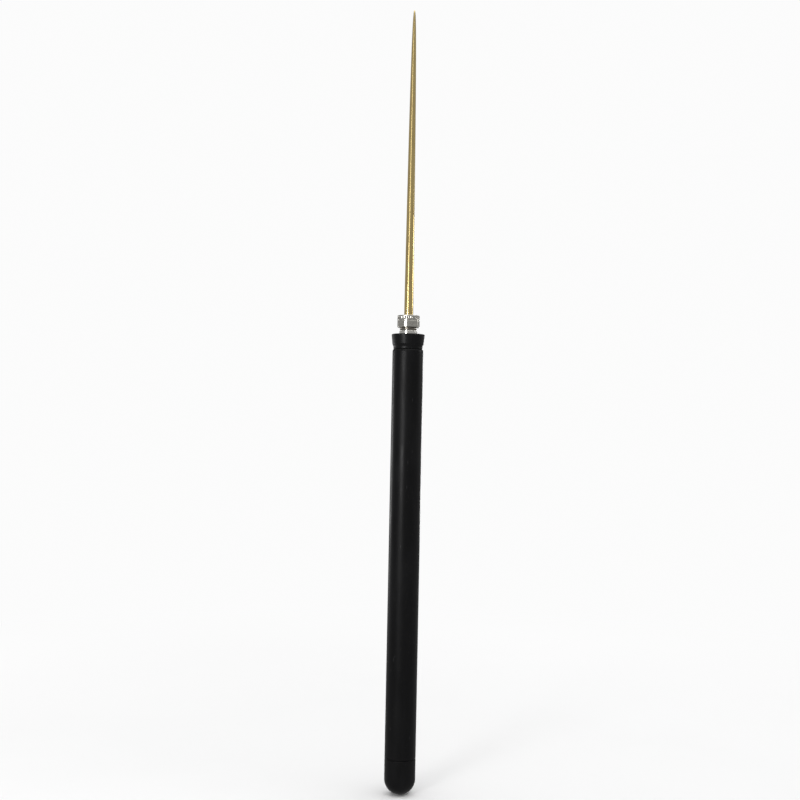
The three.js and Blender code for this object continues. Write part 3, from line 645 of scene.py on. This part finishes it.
class METER_OT_clamp_nut(bpy.types.Operator):
    """Knurled clamp nut with its inner thread, and the slip washer under its roof"""
    bl_idname = "meter.clamp_nut"
    bl_label = "Clamp nut"

    def execute(self, context):
        SIDES_PER_KNURL = 8
        ROUNDNESS = 1.3  # of the grooves between the knurls
        STEPS_PER_TURN = 6
        MARGIN = 0.7 * MM
        low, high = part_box("clamp_nut")
        points, closed = outline_of("clamp_nut")
        line = next(here.y for before, here, after in zip(points, points[1:], points[2:])
                    if before.x > here.x < after.x and here.y > low.z)
        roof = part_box("slip_washer")[1].z
        knurl_low, knurl_high = line + MARGIN, high.z - MARGIN
        pitch = PITCH_OF["nut_turn"]
        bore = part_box("neck_fitting")[1].x
        depth, knurls = shape().knurl_depth, shape().knurls
        inner_thread = thread(pitch, -shape().thread_depth, low.z, roof - MARGIN, pitch)

        def change(angle, radius, height):
            if radius > bore + MARGIN:
                if not knurl_low < height < knurl_high:
                    return 0.0
                fade = min(1.0, (height - knurl_low) / MARGIN, (knurl_high - height) / MARGIN)
                ridge = abs(math.cos(knurls * angle / 2))
                return -depth * fade * (1 - ridge) ** ROUNDNESS
            return inner_thread(angle, radius, height) if height < roof - MARGIN else 0.0

        points = eased(points, closed, shape().edge)
        points = refined(points, closed, low.z, high.z, pitch / STEPS_PER_TURN)
        sides = knurls * SIDES_PER_KNURL
        made = spun("clamp_nut_turned", points, closed, sides, SLOT_OF["clamp_nut"], change)
        stand_for(made, "clamp_nut")
        turned_piece("slip_washer")
        return {"FINISHED"}


class METER_OT_neck(bpy.types.Operator):
    """Threaded steel neck with its bright ring, lightened by a painted highlight, and shank"""
    bl_idname = "meter.neck"
    bl_label = "Neck"

    def execute(self, context):
        RUNOUT = 0.6  # of a pitch
        CLEAR_OF_RING = 3 * MM
        bottom, top = (corner.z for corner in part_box("neck_fitting"))
        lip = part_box("front_collar")[1].z
        pitch = PITCH_OF["nut_turn"]
        shank_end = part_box("neck_washer")[1].z
        points, closed = outline_of("neck_fitting")
        crest = max(point.x for point in points if point.y > lip + CLEAR_OF_RING)
        shank = max(point.x for point in points if point.y < shank_end)
        heights = [point.y for point in points if abs(point.x - crest) < JOIN]
        thread_low, thread_high = min(heights), max(heights)
        outer_thread = thread(pitch, shape().thread_depth, thread_low, thread_high, RUNOUT * pitch)
        shank_thread = thread(pitch, shape().thread_depth, bottom, shank_end, RUNOUT * pitch)

        def change(angle, radius, height):
            if thread_low < height < thread_high and radius > crest - JOIN:
                return outer_thread(angle, radius, height)
            if height < shank_end and abs(radius - shank) < JOIN:
                return shank_thread(angle, radius, height)
            return 0.0

        points = eased(points, closed, FINE * shape().edge)
        points = refined(points, closed, bottom, top, pitch / STEPS_PER_PITCH)
        made = spun("neck_fitting_turned", points, closed, shape().sides, SLOT_OF["neck_fitting"], change)
        # The ring's faces take the brighter steel, a painted highlight
        painted(made, "ring_steel", lambda middle: lip - JOIN < middle[2] < thread_low)
        stand_for(made, "neck_fitting")
        return {"FINISHED"}


class METER_OT_handle(bpy.types.Operator):
    """Black lip, grooved collar and long handle tube"""
    bl_idname = "meter.handle"
    bl_label = "Handle and lip"

    def execute(self, context):
        STRETCH = 12 * MM  # longest face along the tube
        sides = shape().sides
        reach = 1.6 * shape().edge
        turned_piece("front_collar", sides, reach)
        low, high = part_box("handle_tube")
        turned_piece("handle_tube", sides, reach, band=(low.z, high.z, STRETCH))
        return {"FINISHED"}


class METER_OT_tail_cap(bpy.types.Operator):
    """Domed tail cap and the threaded core inside it"""
    bl_idname = "meter.tail_cap"
    bl_label = "Tail cap"

    def execute(self, context):
        DOME_STEPS = 30
        CORE_MARGIN = 0.8 * MM
        INSERT_MARGIN = 0.6 * MM
        low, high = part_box("tail_cap")
        radius = high.x
        points, closed = outline_of("tail_cap")
        shoulder = next(i for i, point in enumerate(points) if point.x > radius - JOIN)
        arc = [Vector((radius * math.sin(a), low.z + radius * (1 - math.cos(a))))
               for a in (math.pi / 2 * step / DOME_STEPS for step in range(DOME_STEPS + 1))]
        wall = eased(arc[-1:] + points[shoulder + 1:], False, shape().edge)[1:]
        made = spun("tail_cap_turned", arc + wall, False, shape().sides, SLOT_OF["tail_cap"])
        stand_for(made, "tail_cap")
        pitch = PITCH_OF["cap_turn"]
        step = pitch / STEPS_PER_PITCH
        core_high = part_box("cap_core")[1]
        outer_thread = thread(pitch, shape().thread_depth, high.z + CORE_MARGIN, core_high.z, pitch / 2)

        def change(angle, core_radius, height):
            return outer_thread(angle, core_radius, height) if core_radius > core_high.x - JOIN else 0.0

        turned_piece("cap_core", shape().sides, FINE * shape().edge, change, (high.z, core_high.z, step))
        insert_low, insert_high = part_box("threaded_insert")
        inner_thread = thread(pitch, -shape().thread_depth, insert_low.z, insert_high.z, pitch / 2)

        def insert_change(angle, insert_radius, height):
            bore = insert_radius < insert_high.x - INSERT_MARGIN
            return inner_thread(angle, insert_radius, height) if bore else 0.0

        turned_piece("threaded_insert", shape().sides, 0.5 * shape().edge, insert_change,
                     (insert_low.z, insert_high.z, step))
        return {"FINISHED"}


class METER_OT_seals(bpy.types.Operator):
    """Rubber rings of the collar and the tail cap"""
    bl_idname = "meter.seals"
    bl_label = "Seals"

    def execute(self, context):
        SECTION_POINTS = 24
        for node in ("collar_o_ring", "tail_o_ring"):
            low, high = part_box(node)
            section = (high.z - low.z) / 2
            middle = Vector((high.x - section, (low.z + high.z) / 2))
            angles = [FULL_TURN * i / SECTION_POINTS for i in range(SECTION_POINTS)]
            points = [middle + section * Vector((math.cos(a), math.sin(a))) for a in angles]
            stand_for(spun(f"{node}_moulded", points, True, shape().sides, SLOT_OF[node]), node)
        return {"FINISHED"}


class METER_OT_clamp_inside(bpy.types.Operator):
    """Collet, insulating bush, washers, ground tag and lock nut inside the neck"""
    bl_idname = "meter.clamp_inside"
    bl_label = "Inside the neck"

    def execute(self, context):
        turned_piece("spear_bush")
        turned_piece("neck_washer", reach=0.5 * shape().edge)
        trimmed_piece("collet", 0.08 * MM)
        trimmed_piece("ground_tag", 0.1 * MM)
        trimmed_piece("lock_nut", 0.35 * MM)
        return {"FINISHED"}


def coil(name, node, wire, turns, wide, narrow, material):
    """A compression spring from its box: a closed turn at each end and an even pitch between."""
    STEPS_PER_TURN = 28
    CLOSED_TURN = 0.8
    WIRE_SIDES = 12
    low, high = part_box(node)
    bottom, top = low.z + wire, high.z - wire
    steps = round(turns * STEPS_PER_TURN)
    path = []
    for step in range(steps + 1):
        turn = turns * step / steps
        if turn < CLOSED_TURN:
            rise = wire * turn
        elif turn > turns - CLOSED_TURN:
            rise = (top - bottom) - wire * (turns - turn)
        else:
            run = (turn - CLOSED_TURN) / (turns - 2 * CLOSED_TURN)
            first, last = wire * CLOSED_TURN, (top - bottom) - wire * CLOSED_TURN
            rise = first + (last - first) * run
        radius = wide + (narrow - wide) * step / steps
        angle = FULL_TURN * turn
        path.append(Vector((radius * math.cos(angle), radius * math.sin(angle), bottom + rise)))
    mesh = bmesh.new()
    sweep(mesh, path, wire, WIRE_SIDES)
    return stand_for(as_object(mesh, name, material), node)


class METER_OT_contact(bpy.types.Operator):
    """Insulating block, sprung plunger and terminal behind the spear"""
    bl_idname = "meter.contact"
    bl_label = "Spear contact"

    def execute(self, context):
        WIRE = 0.28 * MM
        trimmed_piece("contact_block", 0.2 * MM)
        turned_piece("contact_plunger", reach=FINE * shape().edge)
        turned_piece("plunger_terminal", reach=FINE * shape().edge)
        low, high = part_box("plunger_spring")
        middle = high.x - WIRE
        spring = coil("plunger_spring_wound", "plunger_spring", WIRE, shape().plunger_turns, middle, middle,
                      SLOT_OF["plunger_spring"])
        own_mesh(spring)
        return {"FINISHED"}


class METER_OT_tail_contact(bpy.types.Operator):
    """Tail spring and the disc it stands on"""
    bl_idname = "meter.tail_contact"
    bl_label = "Tail contact"

    def execute(self, context):
        WIRE = 0.55 * MM
        TOP_RADIUS = 3 * MM
        turned_piece("spring_seat")
        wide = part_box("tail_spring")[1].x - WIRE
        coil("tail_spring_wound", "tail_spring", WIRE, shape().tail_turns, wide, TOP_RADIUS,
             SLOT_OF["tail_spring"])
        return {"FINISHED"}


class METER_OT_carriers(bpy.types.Operator):
    """Board carrier and cell holder"""
    bl_idname = "meter.carriers"
    bl_label = "Carriers"

    def execute(self, context):
        trimmed_piece("board_sled", 0.25 * MM)
        trimmed_piece("cell_holder", 0.25 * MM)
        return {"FINISHED"}


class METER_OT_cells(bpy.types.Operator):
    """Two cells, the front contact plate and the return strip"""
    bl_idname = "meter.cells"
    bl_label = "Cells and contacts"

    def execute(self, context):
        END_LAP = 1.2 * MM
        for node in CELLS:
            made = turned_piece(node, reach=1.5 * shape().edge)
            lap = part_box(node)[1].x - END_LAP
            painted(made, "tinned_can", lambda middle: Vector(middle[:2]).length < lap)
        trimmed_piece("front_contact", 0.1 * MM)
        trimmed_piece("return_strip", 0.08 * MM)
        return {"FINISHED"}


class METER_OT_board(bpy.types.Operator):
    """Measuring board with its pads and small parts"""
    bl_idname = "meter.board"
    bl_label = "Board"

    def execute(self, context):
        trimmed_piece("sensor_board", 0.08 * MM)
        low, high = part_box("sensor_board")
        self.pads(low, high)
        self.small_parts(high)
        return {"FINISHED"}

    def pads(self, low, high):
        """Plated pads down both edges, for the test probes."""
        PITCH = 2.54 * MM
        SIZE = 0.6 * MM
        THICKNESS = 0.06 * MM
        EDGE = 0.9 * MM
        CLEAR = 14 * MM
        mesh = bmesh.new()
        count = int((high.z - low.z - 2 * CLEAR) / PITCH)
        for i in range(count):
            z = low.z + CLEAR + i * PITCH
            for x in (low.x + EDGE, high.x - EDGE):
                bottom = (x - SIZE, high.y - THICKNESS / 4, z - SIZE)
                slab(mesh, bottom, (x + SIZE, high.y + THICKNESS, z + SIZE), THICKNESS / 3)
        trim_on(as_object(mesh, "board_pads", "plated_gold"), "sensor_board")

    def small_parts(self, high):
        """Rows of chip resistors with tinned ends, in the free stretches of the board."""
        LENGTH = 1.6 * MM
        WIDTH = 0.8 * MM
        HEIGHT = 0.5 * MM
        END = 0.35 * MM
        PITCH = 2.4 * MM
        COLUMNS = (-3.2 * MM, 0.0, 3.2 * MM)
        bodies, ends = bmesh.new(), bmesh.new()
        stretches = ((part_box("radio_module")[1].z + 8 * MM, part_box("board_screw_front")[0].z - 6 * MM),
                     (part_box("board_screw_rear")[1].z + 8 * MM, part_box("timing_capacitor")[0].z - 4 * MM))
        for start, stop in stretches:
            for row in range(max(0, int((stop - start) / PITCH))):
                x = COLUMNS[row % len(COLUMNS)]
                z = start + row * PITCH
                half = LENGTH / 2
                top = (high.y + HEIGHT, z + WIDTH)
                slab(bodies, (x - half + END, high.y, z), (x + half - END, *top), 0.04 * MM)
                for side in (-1, 1):
                    near, far = sorted((x + side * (half - END), x + side * half))
                    slab(ends, (near, high.y, z), (far, *top), 0.05 * MM)
        trim_on(as_object(bodies, "chip_resistors", "chip_black"), "sensor_board")
        trim_on(as_object(ends, "chip_resistor_ends", "tinned_can"), "sensor_board")


class METER_OT_board_parts(bpy.types.Operator):
    """Radio module, microcontroller, coil, capacitors, crystal and screws on the board"""
    bl_idname = "meter.board_parts"
    bl_label = "Board parts"

    def execute(self, context):
        self.radio()
        self.controller()
        self.oscillator()
        self.trimmer()
        self.crystal()
        self.capacitor()
        for node in ("board_screw_rear", "board_screw_front"):
            self.screw(node)
        return {"FINISHED"}

    def radio(self):
        """Small carrier board with a drawn metal can and plated edges."""
        BASE = 0.8 * MM
        INSET = 0.7 * MM
        PAD_PITCH = 1.5 * MM
        PAD = 0.5 * MM
        low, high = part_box("radio_module")
        mesh = bmesh.new()
        can_top = (high.x - INSET, high.y, high.z - 2 * INSET)
        slab(mesh, (low.x + INSET, low.y + BASE, low.z + INSET), can_top, 0.3 * MM)
        stand_for(as_object(mesh, "radio_can", SLOT_OF["radio_module"]), "radio_module")
        mesh = bmesh.new()
        slab(mesh, low, (high.x, low.y + BASE, high.z), 0.06 * MM)
        trim_on(as_object(mesh, "radio_base", "board_green"), "radio_module")
        mesh = bmesh.new()
        for i in range(int((high.z - low.z - 2 * INSET) / PAD_PITCH)):
            z = low.z + INSET + i * PAD_PITCH
            for near, far in ((low.x, low.x + PAD), (high.x - PAD, high.x)):
                pad_top = (far, low.y + BASE + 0.04 * MM, z + 0.8 * MM)
                slab(mesh, (near, low.y + 0.1 * MM, z), pad_top, 0.02 * MM)
        trim_on(as_object(mesh, "radio_pads", "plated_gold"), "radio_module")

    def controller(self):
        """Square chip with bent leads on its four sides."""
        LEADS = 8
        LEAD = 0.3 * MM
        SHEET = 0.13 * MM
        REACH = 0.7 * MM
        BROKEN = 0.02 * MM
        low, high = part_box("microcontroller")
        mesh = bmesh.new()
        body_top = (high.x - REACH, high.y, high.z - REACH)
        slab(mesh, (low.x + REACH, low.y + SHEET, low.z + REACH), body_top, 0.12 * MM)
        stand_for(as_object(mesh, "controller_body", SLOT_OF["microcontroller"]), "microcontroller")
        mesh = bmesh.new()
        centre = (low + high) / 2
        half = (high.x - low.x) / 2
        middle = (high.y - low.y) / 2
        pitch = 2 * (half - REACH) / (LEADS + 1)
        out, bend = half - REACH, half - REACH + 0.25 * MM
        for quarter in range(4):
            side = bmesh.new()
            for i in range(LEADS):
                z = (i - (LEADS - 1) / 2) * pitch
                near, far = z - LEAD / 2, z + LEAD / 2
                slab(side, (out - 0.1 * MM, middle, near), (bend, middle + SHEET, far), BROKEN)
                slab(side, (bend - SHEET, 0, near), (bend, middle + SHEET, far), BROKEN)
                slab(side, (bend - SHEET, 0, near), (half, SHEET, far), BROKEN)
            turn = Matrix.Rotation(quarter * math.pi / 2, 4, "Y")
            move = Matrix.Translation((centre.x, low.y, centre.z)) @ turn
            bmesh.ops.transform(side, matrix=move, verts=side.verts)
            data = bpy.data.meshes.new("controller_side")
            side.to_mesh(data)
            side.free()
            mesh.from_mesh(data)
            bpy.data.meshes.remove(data)
        trim_on(as_object(mesh, "controller_leads", "tinned_can"), "microcontroller")

    def oscillator(self):
        """Shielded coil: a square foot with a round ferrite drum on it."""
        FOOT = 0.8 * MM
        low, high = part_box("oscillator_coil")
        half = (high.x - low.x) / 2
        mesh = bmesh.new()
        height = high.y - low.y
        dish = height - 0.3 * MM
        pairs = ((0, FOOT), (0.86 * half, FOOT), (0.86 * half, 1.3 * FOOT), (0.96 * half, 1.5 * FOOT),
                 (0.96 * half, height), (0.62 * half, height), (0.58 * half, dish), (0, dish))
        lathe(mesh, eased(vectors(pairs), False, 0.12 * MM), False, shape().inner_sides)
        stood(mesh, ((low.x + high.x) / 2, low.y, (low.z + high.z) / 2))
        slab(mesh, low, (high.x, low.y + FOOT, high.z), 0.15 * MM)
        stand_for(as_object(mesh, "oscillator_coil_drum", SLOT_OF["oscillator_coil"]), "oscillator_coil")

    def trimmer(self):
        """Trim capacitor: a moulded case with a slotted brass rotor."""
        CASE = 1.8 * MM
        SLOT = 0.35 * MM
        STEPS = 24
        low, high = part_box("trim_capacitor")
        centre = (low + high) / 2
        half = (high.x - low.x) / 2
        mesh = bmesh.new()
        slab(mesh, low, (high.x, low.y + CASE, high.z), 0.2 * MM)
        stand_for(as_object(mesh, "trim_case", SLOT_OF["trim_capacitor"]), "trim_capacitor")
        mesh = bmesh.new()
        rotor = 0.78 * half
        floor = high.y - low.y - 0.35 * MM
        pairs = ((0, CASE), (rotor, CASE), (rotor, floor), (0, floor))
        lathe(mesh, eased(vectors(pairs), False, 0.1 * MM), False, shape().inner_sides)
        stood(mesh, (centre.x, low.y, centre.z))
        start = math.asin(SLOT / rotor)
        angles = [start + (math.pi - 2 * start) * step / STEPS for step in range(STEPS + 1)]
        for sign in (-1, 1):
            rim = [Vector((rotor * math.cos(a), sign * rotor * math.sin(a))) for a in angles]
            rings = [[mesh.verts.new((centre.x + p.x, y, centre.z + p.y)) for p in rim]
                     for y in (low.y + floor - 0.1 * MM, high.y)]
            mesh.faces.new(rings[0])
            mesh.faces.new(rings[1])
            for i in range(len(rim)):
                after = (i + 1) % len(rim)
                mesh.faces.new((rings[0][i], rings[0][after], rings[1][after], rings[1][i]))
        trim_on(as_object(mesh, "trim_rotor", "inner_brass"), "trim_capacitor")

    def crystal(self):
        """Drawn metal can with round ends on a flanged foot."""
        FLANGE = 0.35 * MM
        STEPS = 16
        low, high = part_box("crystal")
        centre = (low + high) / 2
        half = (high.x - low.x) / 2
        run = (high.z - low.z) / 2 - half
        mesh = bmesh.new()
        levels = [(half, low.y), (half, low.y + FLANGE), (half - 0.25 * MM, low.y + 1.3 * FLANGE),
                  (half - 0.25 * MM, high.y - 0.3 * MM), (half - 0.34 * MM, high.y - 0.1 * MM),
                  (half - 0.55 * MM, high.y)]
        rings = []
        for radius, y in levels:
            ring = []
            for end, start in ((1, 0.0), (-1, math.pi)):
                for step in range(STEPS + 1):
                    a = start + math.pi * step / STEPS
                    ring.append(mesh.verts.new(
                        (centre.x + radius * math.cos(a), y, centre.z + end * run + radius * math.sin(a))))
            rings.append(ring)
        for lower, upper in zip(rings, rings[1:]):
            for i in range(len(lower)):
                after = (i + 1) % len(lower)
                mesh.faces.new((lower[i], lower[after], upper[after], upper[i]))
        mesh.faces.new(rings[0])
        mesh.faces.new(rings[-1])
        stand_for(as_object(mesh, "crystal_can", SLOT_OF["crystal"]), "crystal")

    def capacitor(self):
        """Can capacitor: a crimped sleeve with a bare, sunken top."""
        low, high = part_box("timing_capacitor")
        centre = (low + high) / 2
        radius = (high.x - low.x) / 2
        height = high.y - low.y
        pairs = ((0, 0), (radius, 0), (radius, 0.14 * height), (0.88 * radius, 0.2 * height),
                 (radius, 0.26 * height), (radius, height), (0.82 * radius, height),
                 (0.78 * radius, 0.975 * height), (0, 0.975 * height))
        mesh = bmesh.new()
        lathe(mesh, eased(vectors(pairs), False, 0.2 * MM, 4), False, shape().inner_sides)
        stood(mesh, (centre.x, low.y, centre.z))
        made = as_object(mesh, "timing_capacitor_can", SLOT_OF["timing_capacitor"])
        stand_for(made, "timing_capacitor")
        top = high.y - 0.06 * height
        painted(made, "tinned_can", lambda middle: middle[1] > top and
                Vector((middle[0] - centre.x, middle[2] - centre.z)).length < 0.9 * radius)

    def screw(self, node):
        """Pan-head screw with a hexagon socket and a coarse thread."""
        SIDES = 48
        SOCKET = 0.5  # of the head's radius
        DEPTH = 0.9 * MM
        PITCH = 0.7 * MM
        low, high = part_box(node)
        centre = (low + high) / 2
        head = (high.x - low.x) / 2
        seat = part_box("sensor_board")[1].y - low.y
        shank = 0.5 * head
        top = high.y - low.y
        pairs = ((0, 0), (0.6 * shank, 0), (shank, 0.5 * MM), (shank, seat), (head, seat + 0.1 * MM),
                 (head, seat + 0.55 * (top - seat)), (0.72 * head, top), (SOCKET * head, top),
                 (SOCKET * head, top - DEPTH), (0, top - DEPTH))
        outline = eased(vectors(pairs), False, 0.08 * MM)
        winding = thread(PITCH, 0.2 * MM, 0, seat, PITCH)
        sixth = FULL_TURN / 6

        def change(angle, radius, height):
            if height < seat and abs(radius - shank) < JOIN:
                return winding(angle, radius, height)
            if height > seat and radius < (SOCKET + 0.02) * head and radius > 0.3 * head:
                return radius * (math.cos(sixth / 2) / math.cos(angle % sixth - sixth / 2) - 1)
            return 0.0

        mesh = bmesh.new()
        lathe(mesh, refined(outline, False, 0, seat, PITCH / STEPS_PER_PITCH), False, SIDES, change)
        stood(mesh, (centre.x, low.y, centre.z))
        stand_for(as_object(mesh, f"{node}_turned", SLOT_OF[node]), node)


class METER_OT_leads(bpy.types.Operator):
    """Two insulated leads and their solder joints"""
    bl_idname = "meter.leads"
    bl_label = "Leads"

    def execute(self, context):
        SOLDER = 0.9 * MM
        SOLDER_SIDES = 32
        LEAN = 0.7  # widest angle between triangles that become one face
        for node in ("ground_lead", "spear_lead"):
            mesh = bmesh.new()
            mesh.from_mesh(frame["nodes"][node].data)
            bmesh.ops.remove_doubles(mesh, verts=mesh.verts, dist=JOIN)
            bmesh.ops.join_triangles(
                mesh, faces=mesh.faces, angle_face_threshold=LEAN, angle_shape_threshold=LEAN)
            made = stand_for(as_object(mesh, f"{node}_sleeve", SLOT_OF[node]), node)
            rounded = made.modifiers.new("rounded", "SUBSURF")
            rounded.levels = rounded.render_levels = 1
            made.modifiers.move(1, 0)  # before the weighted normals
            low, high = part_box(node)
            board_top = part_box("sensor_board")[1].y
            side = high.x if node == "ground_lead" else low.x
            place = Vector((side - math.copysign(0.5 * MM, side), board_top, low.z + 0.2 * MM))
            drop = bmesh.new()
            pairs = ((0, 0), (SOLDER, 0), (0.9 * SOLDER, 0.25 * SOLDER), (0.55 * SOLDER, 0.8 * SOLDER),
                     (0.3 * SOLDER, SOLDER), (0, 1.04 * SOLDER))
            lathe(drop, eased(vectors(pairs), False, 0.15 * MM), False, SOLDER_SIDES)
            stood(drop, place)
            trim_on(as_object(drop, f"{node}_solder", "tinned_can"), node)
        return {"FINISHED"}


class METER_OT_stage(bpy.types.Operator):
    """Pale floor, soft studio lights and the camera"""
    bl_idname = "meter.stage"
    bl_label = "Stage"

    def execute(self, context):
        settings = context.scene.meter_stage
        context.scene.view_settings.view_transform = "Standard"
        self.sky(context.scene, settings)
        self.floor(settings)
        self.backdrop(settings)
        self.lights(settings)
        self.camera(context.scene, settings)
        return {"FINISHED"}

    def sky(self, scene, settings):
        world = bpy.data.worlds.new("sky")
        world.use_nodes = True
        background = world.node_tree.nodes["Background"]
        background.inputs["Color"].default_value = (1, 1, 1, 1)
        background.inputs["Strength"].default_value = settings.sky
        scene.world = world

    def disc(self, name, radius, rings):
        """A flat disc whose rings crowd towards its middle."""
        SIDES = 96
        angles = [FULL_TURN * side / SIDES for side in range(SIDES)]
        mesh = bmesh.new()
        middle = mesh.verts.new((0, 0, 0))
        previous = None
        for ring in range(1, rings + 1):
            reach = radius * (ring / rings) ** 2
            current = [mesh.verts.new((reach * math.cos(a), reach * math.sin(a), 0)) for a in angles]
            for side in range(SIDES):
                after = (side + 1) % SIDES
                if previous:
                    mesh.faces.new((previous[side], current[side], current[after], previous[after]))
                else:
                    mesh.faces.new((middle, current[side], current[after]))
            previous = current
        data = bpy.data.meshes.new(name)
        mesh.to_mesh(data)
        mesh.free()
        made = bpy.data.objects.new(name, data)
        bpy.context.scene.collection.objects.link(made)
        return made

    def floor(self, settings):
        """Matt pale floor near the meter that runs into the backdrop's brightness far away."""
        NEAR, FAR = 0.1, 1.0
        RADIUS, RINGS = 12, 24
        tone = settings.floor_tone
        made = Finish("floor", (tone, tone, tone), 0.9, Specular_IOR_Level=0.1)
        made.shaded(made.span(made.grain((0.004, 0.004, 0.004), detail=4), 0.4, 0.7, 0, 0.3), 0.96)
        distance = made.node("ShaderNodeVectorMath", {0: made.place}, operation="LENGTH").outputs["Value"]
        glow = made.node("ShaderNodeEmission", {"Color": (1, 1, 1, 1), "Strength": settings.backdrop})
        blend = made.node("ShaderNodeMixShader")
        made.join(made.span(distance, NEAR, FAR), blend.inputs[0])
        made.join(made.shader.outputs["BSDF"], blend.inputs[1])
        made.join(glow.outputs["Emission"], blend.inputs[2])
        made.join(blend.outputs["Shader"], made.nodes["Material Output"].inputs["Surface"])
        floor = self.disc("floor", RADIUS, RINGS)
        floor.data.materials.append(made.material)
        floor.visible_glossy = False

    def backdrop(self, settings):
        """Wide dome that only the camera sees."""
        RADIUS = 11
        SEGMENTS = 48
        mesh = bmesh.new()
        bmesh.ops.create_uvsphere(mesh, u_segments=SEGMENTS, v_segments=SEGMENTS // 2, radius=RADIUS)
        data = bpy.data.meshes.new("backdrop")
        mesh.to_mesh(data)
        mesh.free()
        dome = bpy.data.objects.new("backdrop", data)
        bpy.context.scene.collection.objects.link(dome)
        material = bpy.data.materials.new("backdrop")
        material.use_nodes = True
        nodes = material.node_tree.nodes
        nodes.remove(nodes["Principled BSDF"])
        glow = nodes.new("ShaderNodeEmission")
        glow.inputs["Strength"].default_value = settings.backdrop
        material.node_tree.links.new(glow.outputs["Emission"], nodes["Material Output"].inputs["Surface"])
        data.materials.append(material)
        dome.visible_glossy = False
        dome.visible_diffuse = False
        dome.visible_shadow = False
        dome.visible_transmission = False

    def light(self, name, place, aim, size, power):
        lamp = bpy.data.lights.new(name, "AREA")
        lamp.shape = "RECTANGLE"
        lamp.size, lamp.size_y = size
        lamp.energy = power
        made = bpy.data.objects.new(name, lamp)
        made.location = place
        made.rotation_euler = (Vector(aim) - Vector(place)).to_track_quat("-Z", "Y").to_euler()
        bpy.context.scene.collection.objects.link(made)

    def strip(self, name, degrees, reach, low, high, width, power):
        """Upright strip light so many degrees round from the front to the right, between two heights."""
        side = math.radians(degrees)
        place = (reach * math.sin(side), -reach * math.cos(side), (low + high) / 2)
        self.light(name, place, (0, 0, place[2]), (width, high - low), power)

    def lights(self, settings):
        """Upright strips round the meter, and a wide soft light overhead."""
        self.strip("spear_strip", -25, reach=1.4, low=0.507, high=1.35, width=0.3, power=settings.key)
        self.strip("handle_strip", -31, reach=1.4, low=0.28, high=0.502, width=0.36,
                   power=settings.handle_key)
        self.strip("right_strip", 112, reach=1.1, low=0.54, high=0.68, width=0.24, power=settings.side)
        self.strip("rear_strip", -132, reach=1.3, low=0.05, high=0.42, width=0.2, power=settings.rear)
        self.strip("back_strip", 165, reach=1.4, low=0.1, high=0.49, width=0.3, power=settings.back)
        self.light("overhead", place=(0.2, -0.3, 3), aim=(0, 0, 0), size=(5, 5), power=settings.top)

    def camera(self, scene, settings):
        SENSOR_WIDTH = 36
        aim = Vector((settings.aim_side, 0, settings.aim_height))
        back = Vector((0, -math.cos(settings.elevation), math.sin(settings.elevation)))
        camera = bpy.data.objects.new("camera", bpy.data.cameras.new("camera"))
        camera.data.lens = settings.lens
        camera.data.sensor_width = SENSOR_WIDTH
        look = (-back).to_track_quat("-Z", "Y")
        camera.location = aim + settings.distance * back
        camera.rotation_euler = (look.to_matrix() @ Matrix.Rotation(settings.roll, 3, "Z")).to_euler()
        scene.collection.objects.link(camera)
        scene.camera = camera


# ---- Registration --------------------------------------------------------------------------------------
OPERATORS = (
    METER_OT_stage,
    METER_OT_spear,
    METER_OT_clamp_nut,
    METER_OT_neck,
    METER_OT_handle,
    METER_OT_tail_cap,
    METER_OT_seals,
    METER_OT_clamp_inside,
    METER_OT_contact,
    METER_OT_tail_contact,
    METER_OT_carriers,
    METER_OT_cells,
    METER_OT_board,
    METER_OT_board_parts,
    METER_OT_leads,
)
GROUPS = {"meter_shape": MeterShape, "meter_colours": MeterColours, "meter_stage": MeterStage}


class METER_PT_panel(bpy.types.Panel):
    """Settings and build steps of the grain moisture meter"""
    bl_idname = "METER_PT_panel"
    bl_label = "Grain Moisture Meter"
    bl_space_type = "VIEW_3D"
    bl_region_type = "UI"
    bl_category = "Meter"

    def draw(self, context):
        for name, group in GROUPS.items():
            box = self.layout.box()
            for setting in group.__annotations__:
                box.prop(getattr(context.scene, name), setting)
        for operator in OPERATORS:
            self.layout.operator(operator.bl_idname)


def register():
    for made in (*GROUPS.values(), *OPERATORS, METER_PT_panel):
        bpy.utils.register_class(made)
    for name, group in GROUPS.items():
        setattr(bpy.types.Scene, name, bpy.props.PointerProperty(type=group))


def unregister():
    for name in GROUPS:
        delattr(bpy.types.Scene, name)
    for made in (METER_PT_panel, *reversed(OPERATORS), *reversed(GROUPS.values())):
        bpy.utils.unregister_class(made)


def main():
    register()
    for operator in OPERATORS:
        group, step = operator.bl_idname.split(".")
        getattr(getattr(bpy.ops, group), step)()


if __name__ == "__main__":
    main()
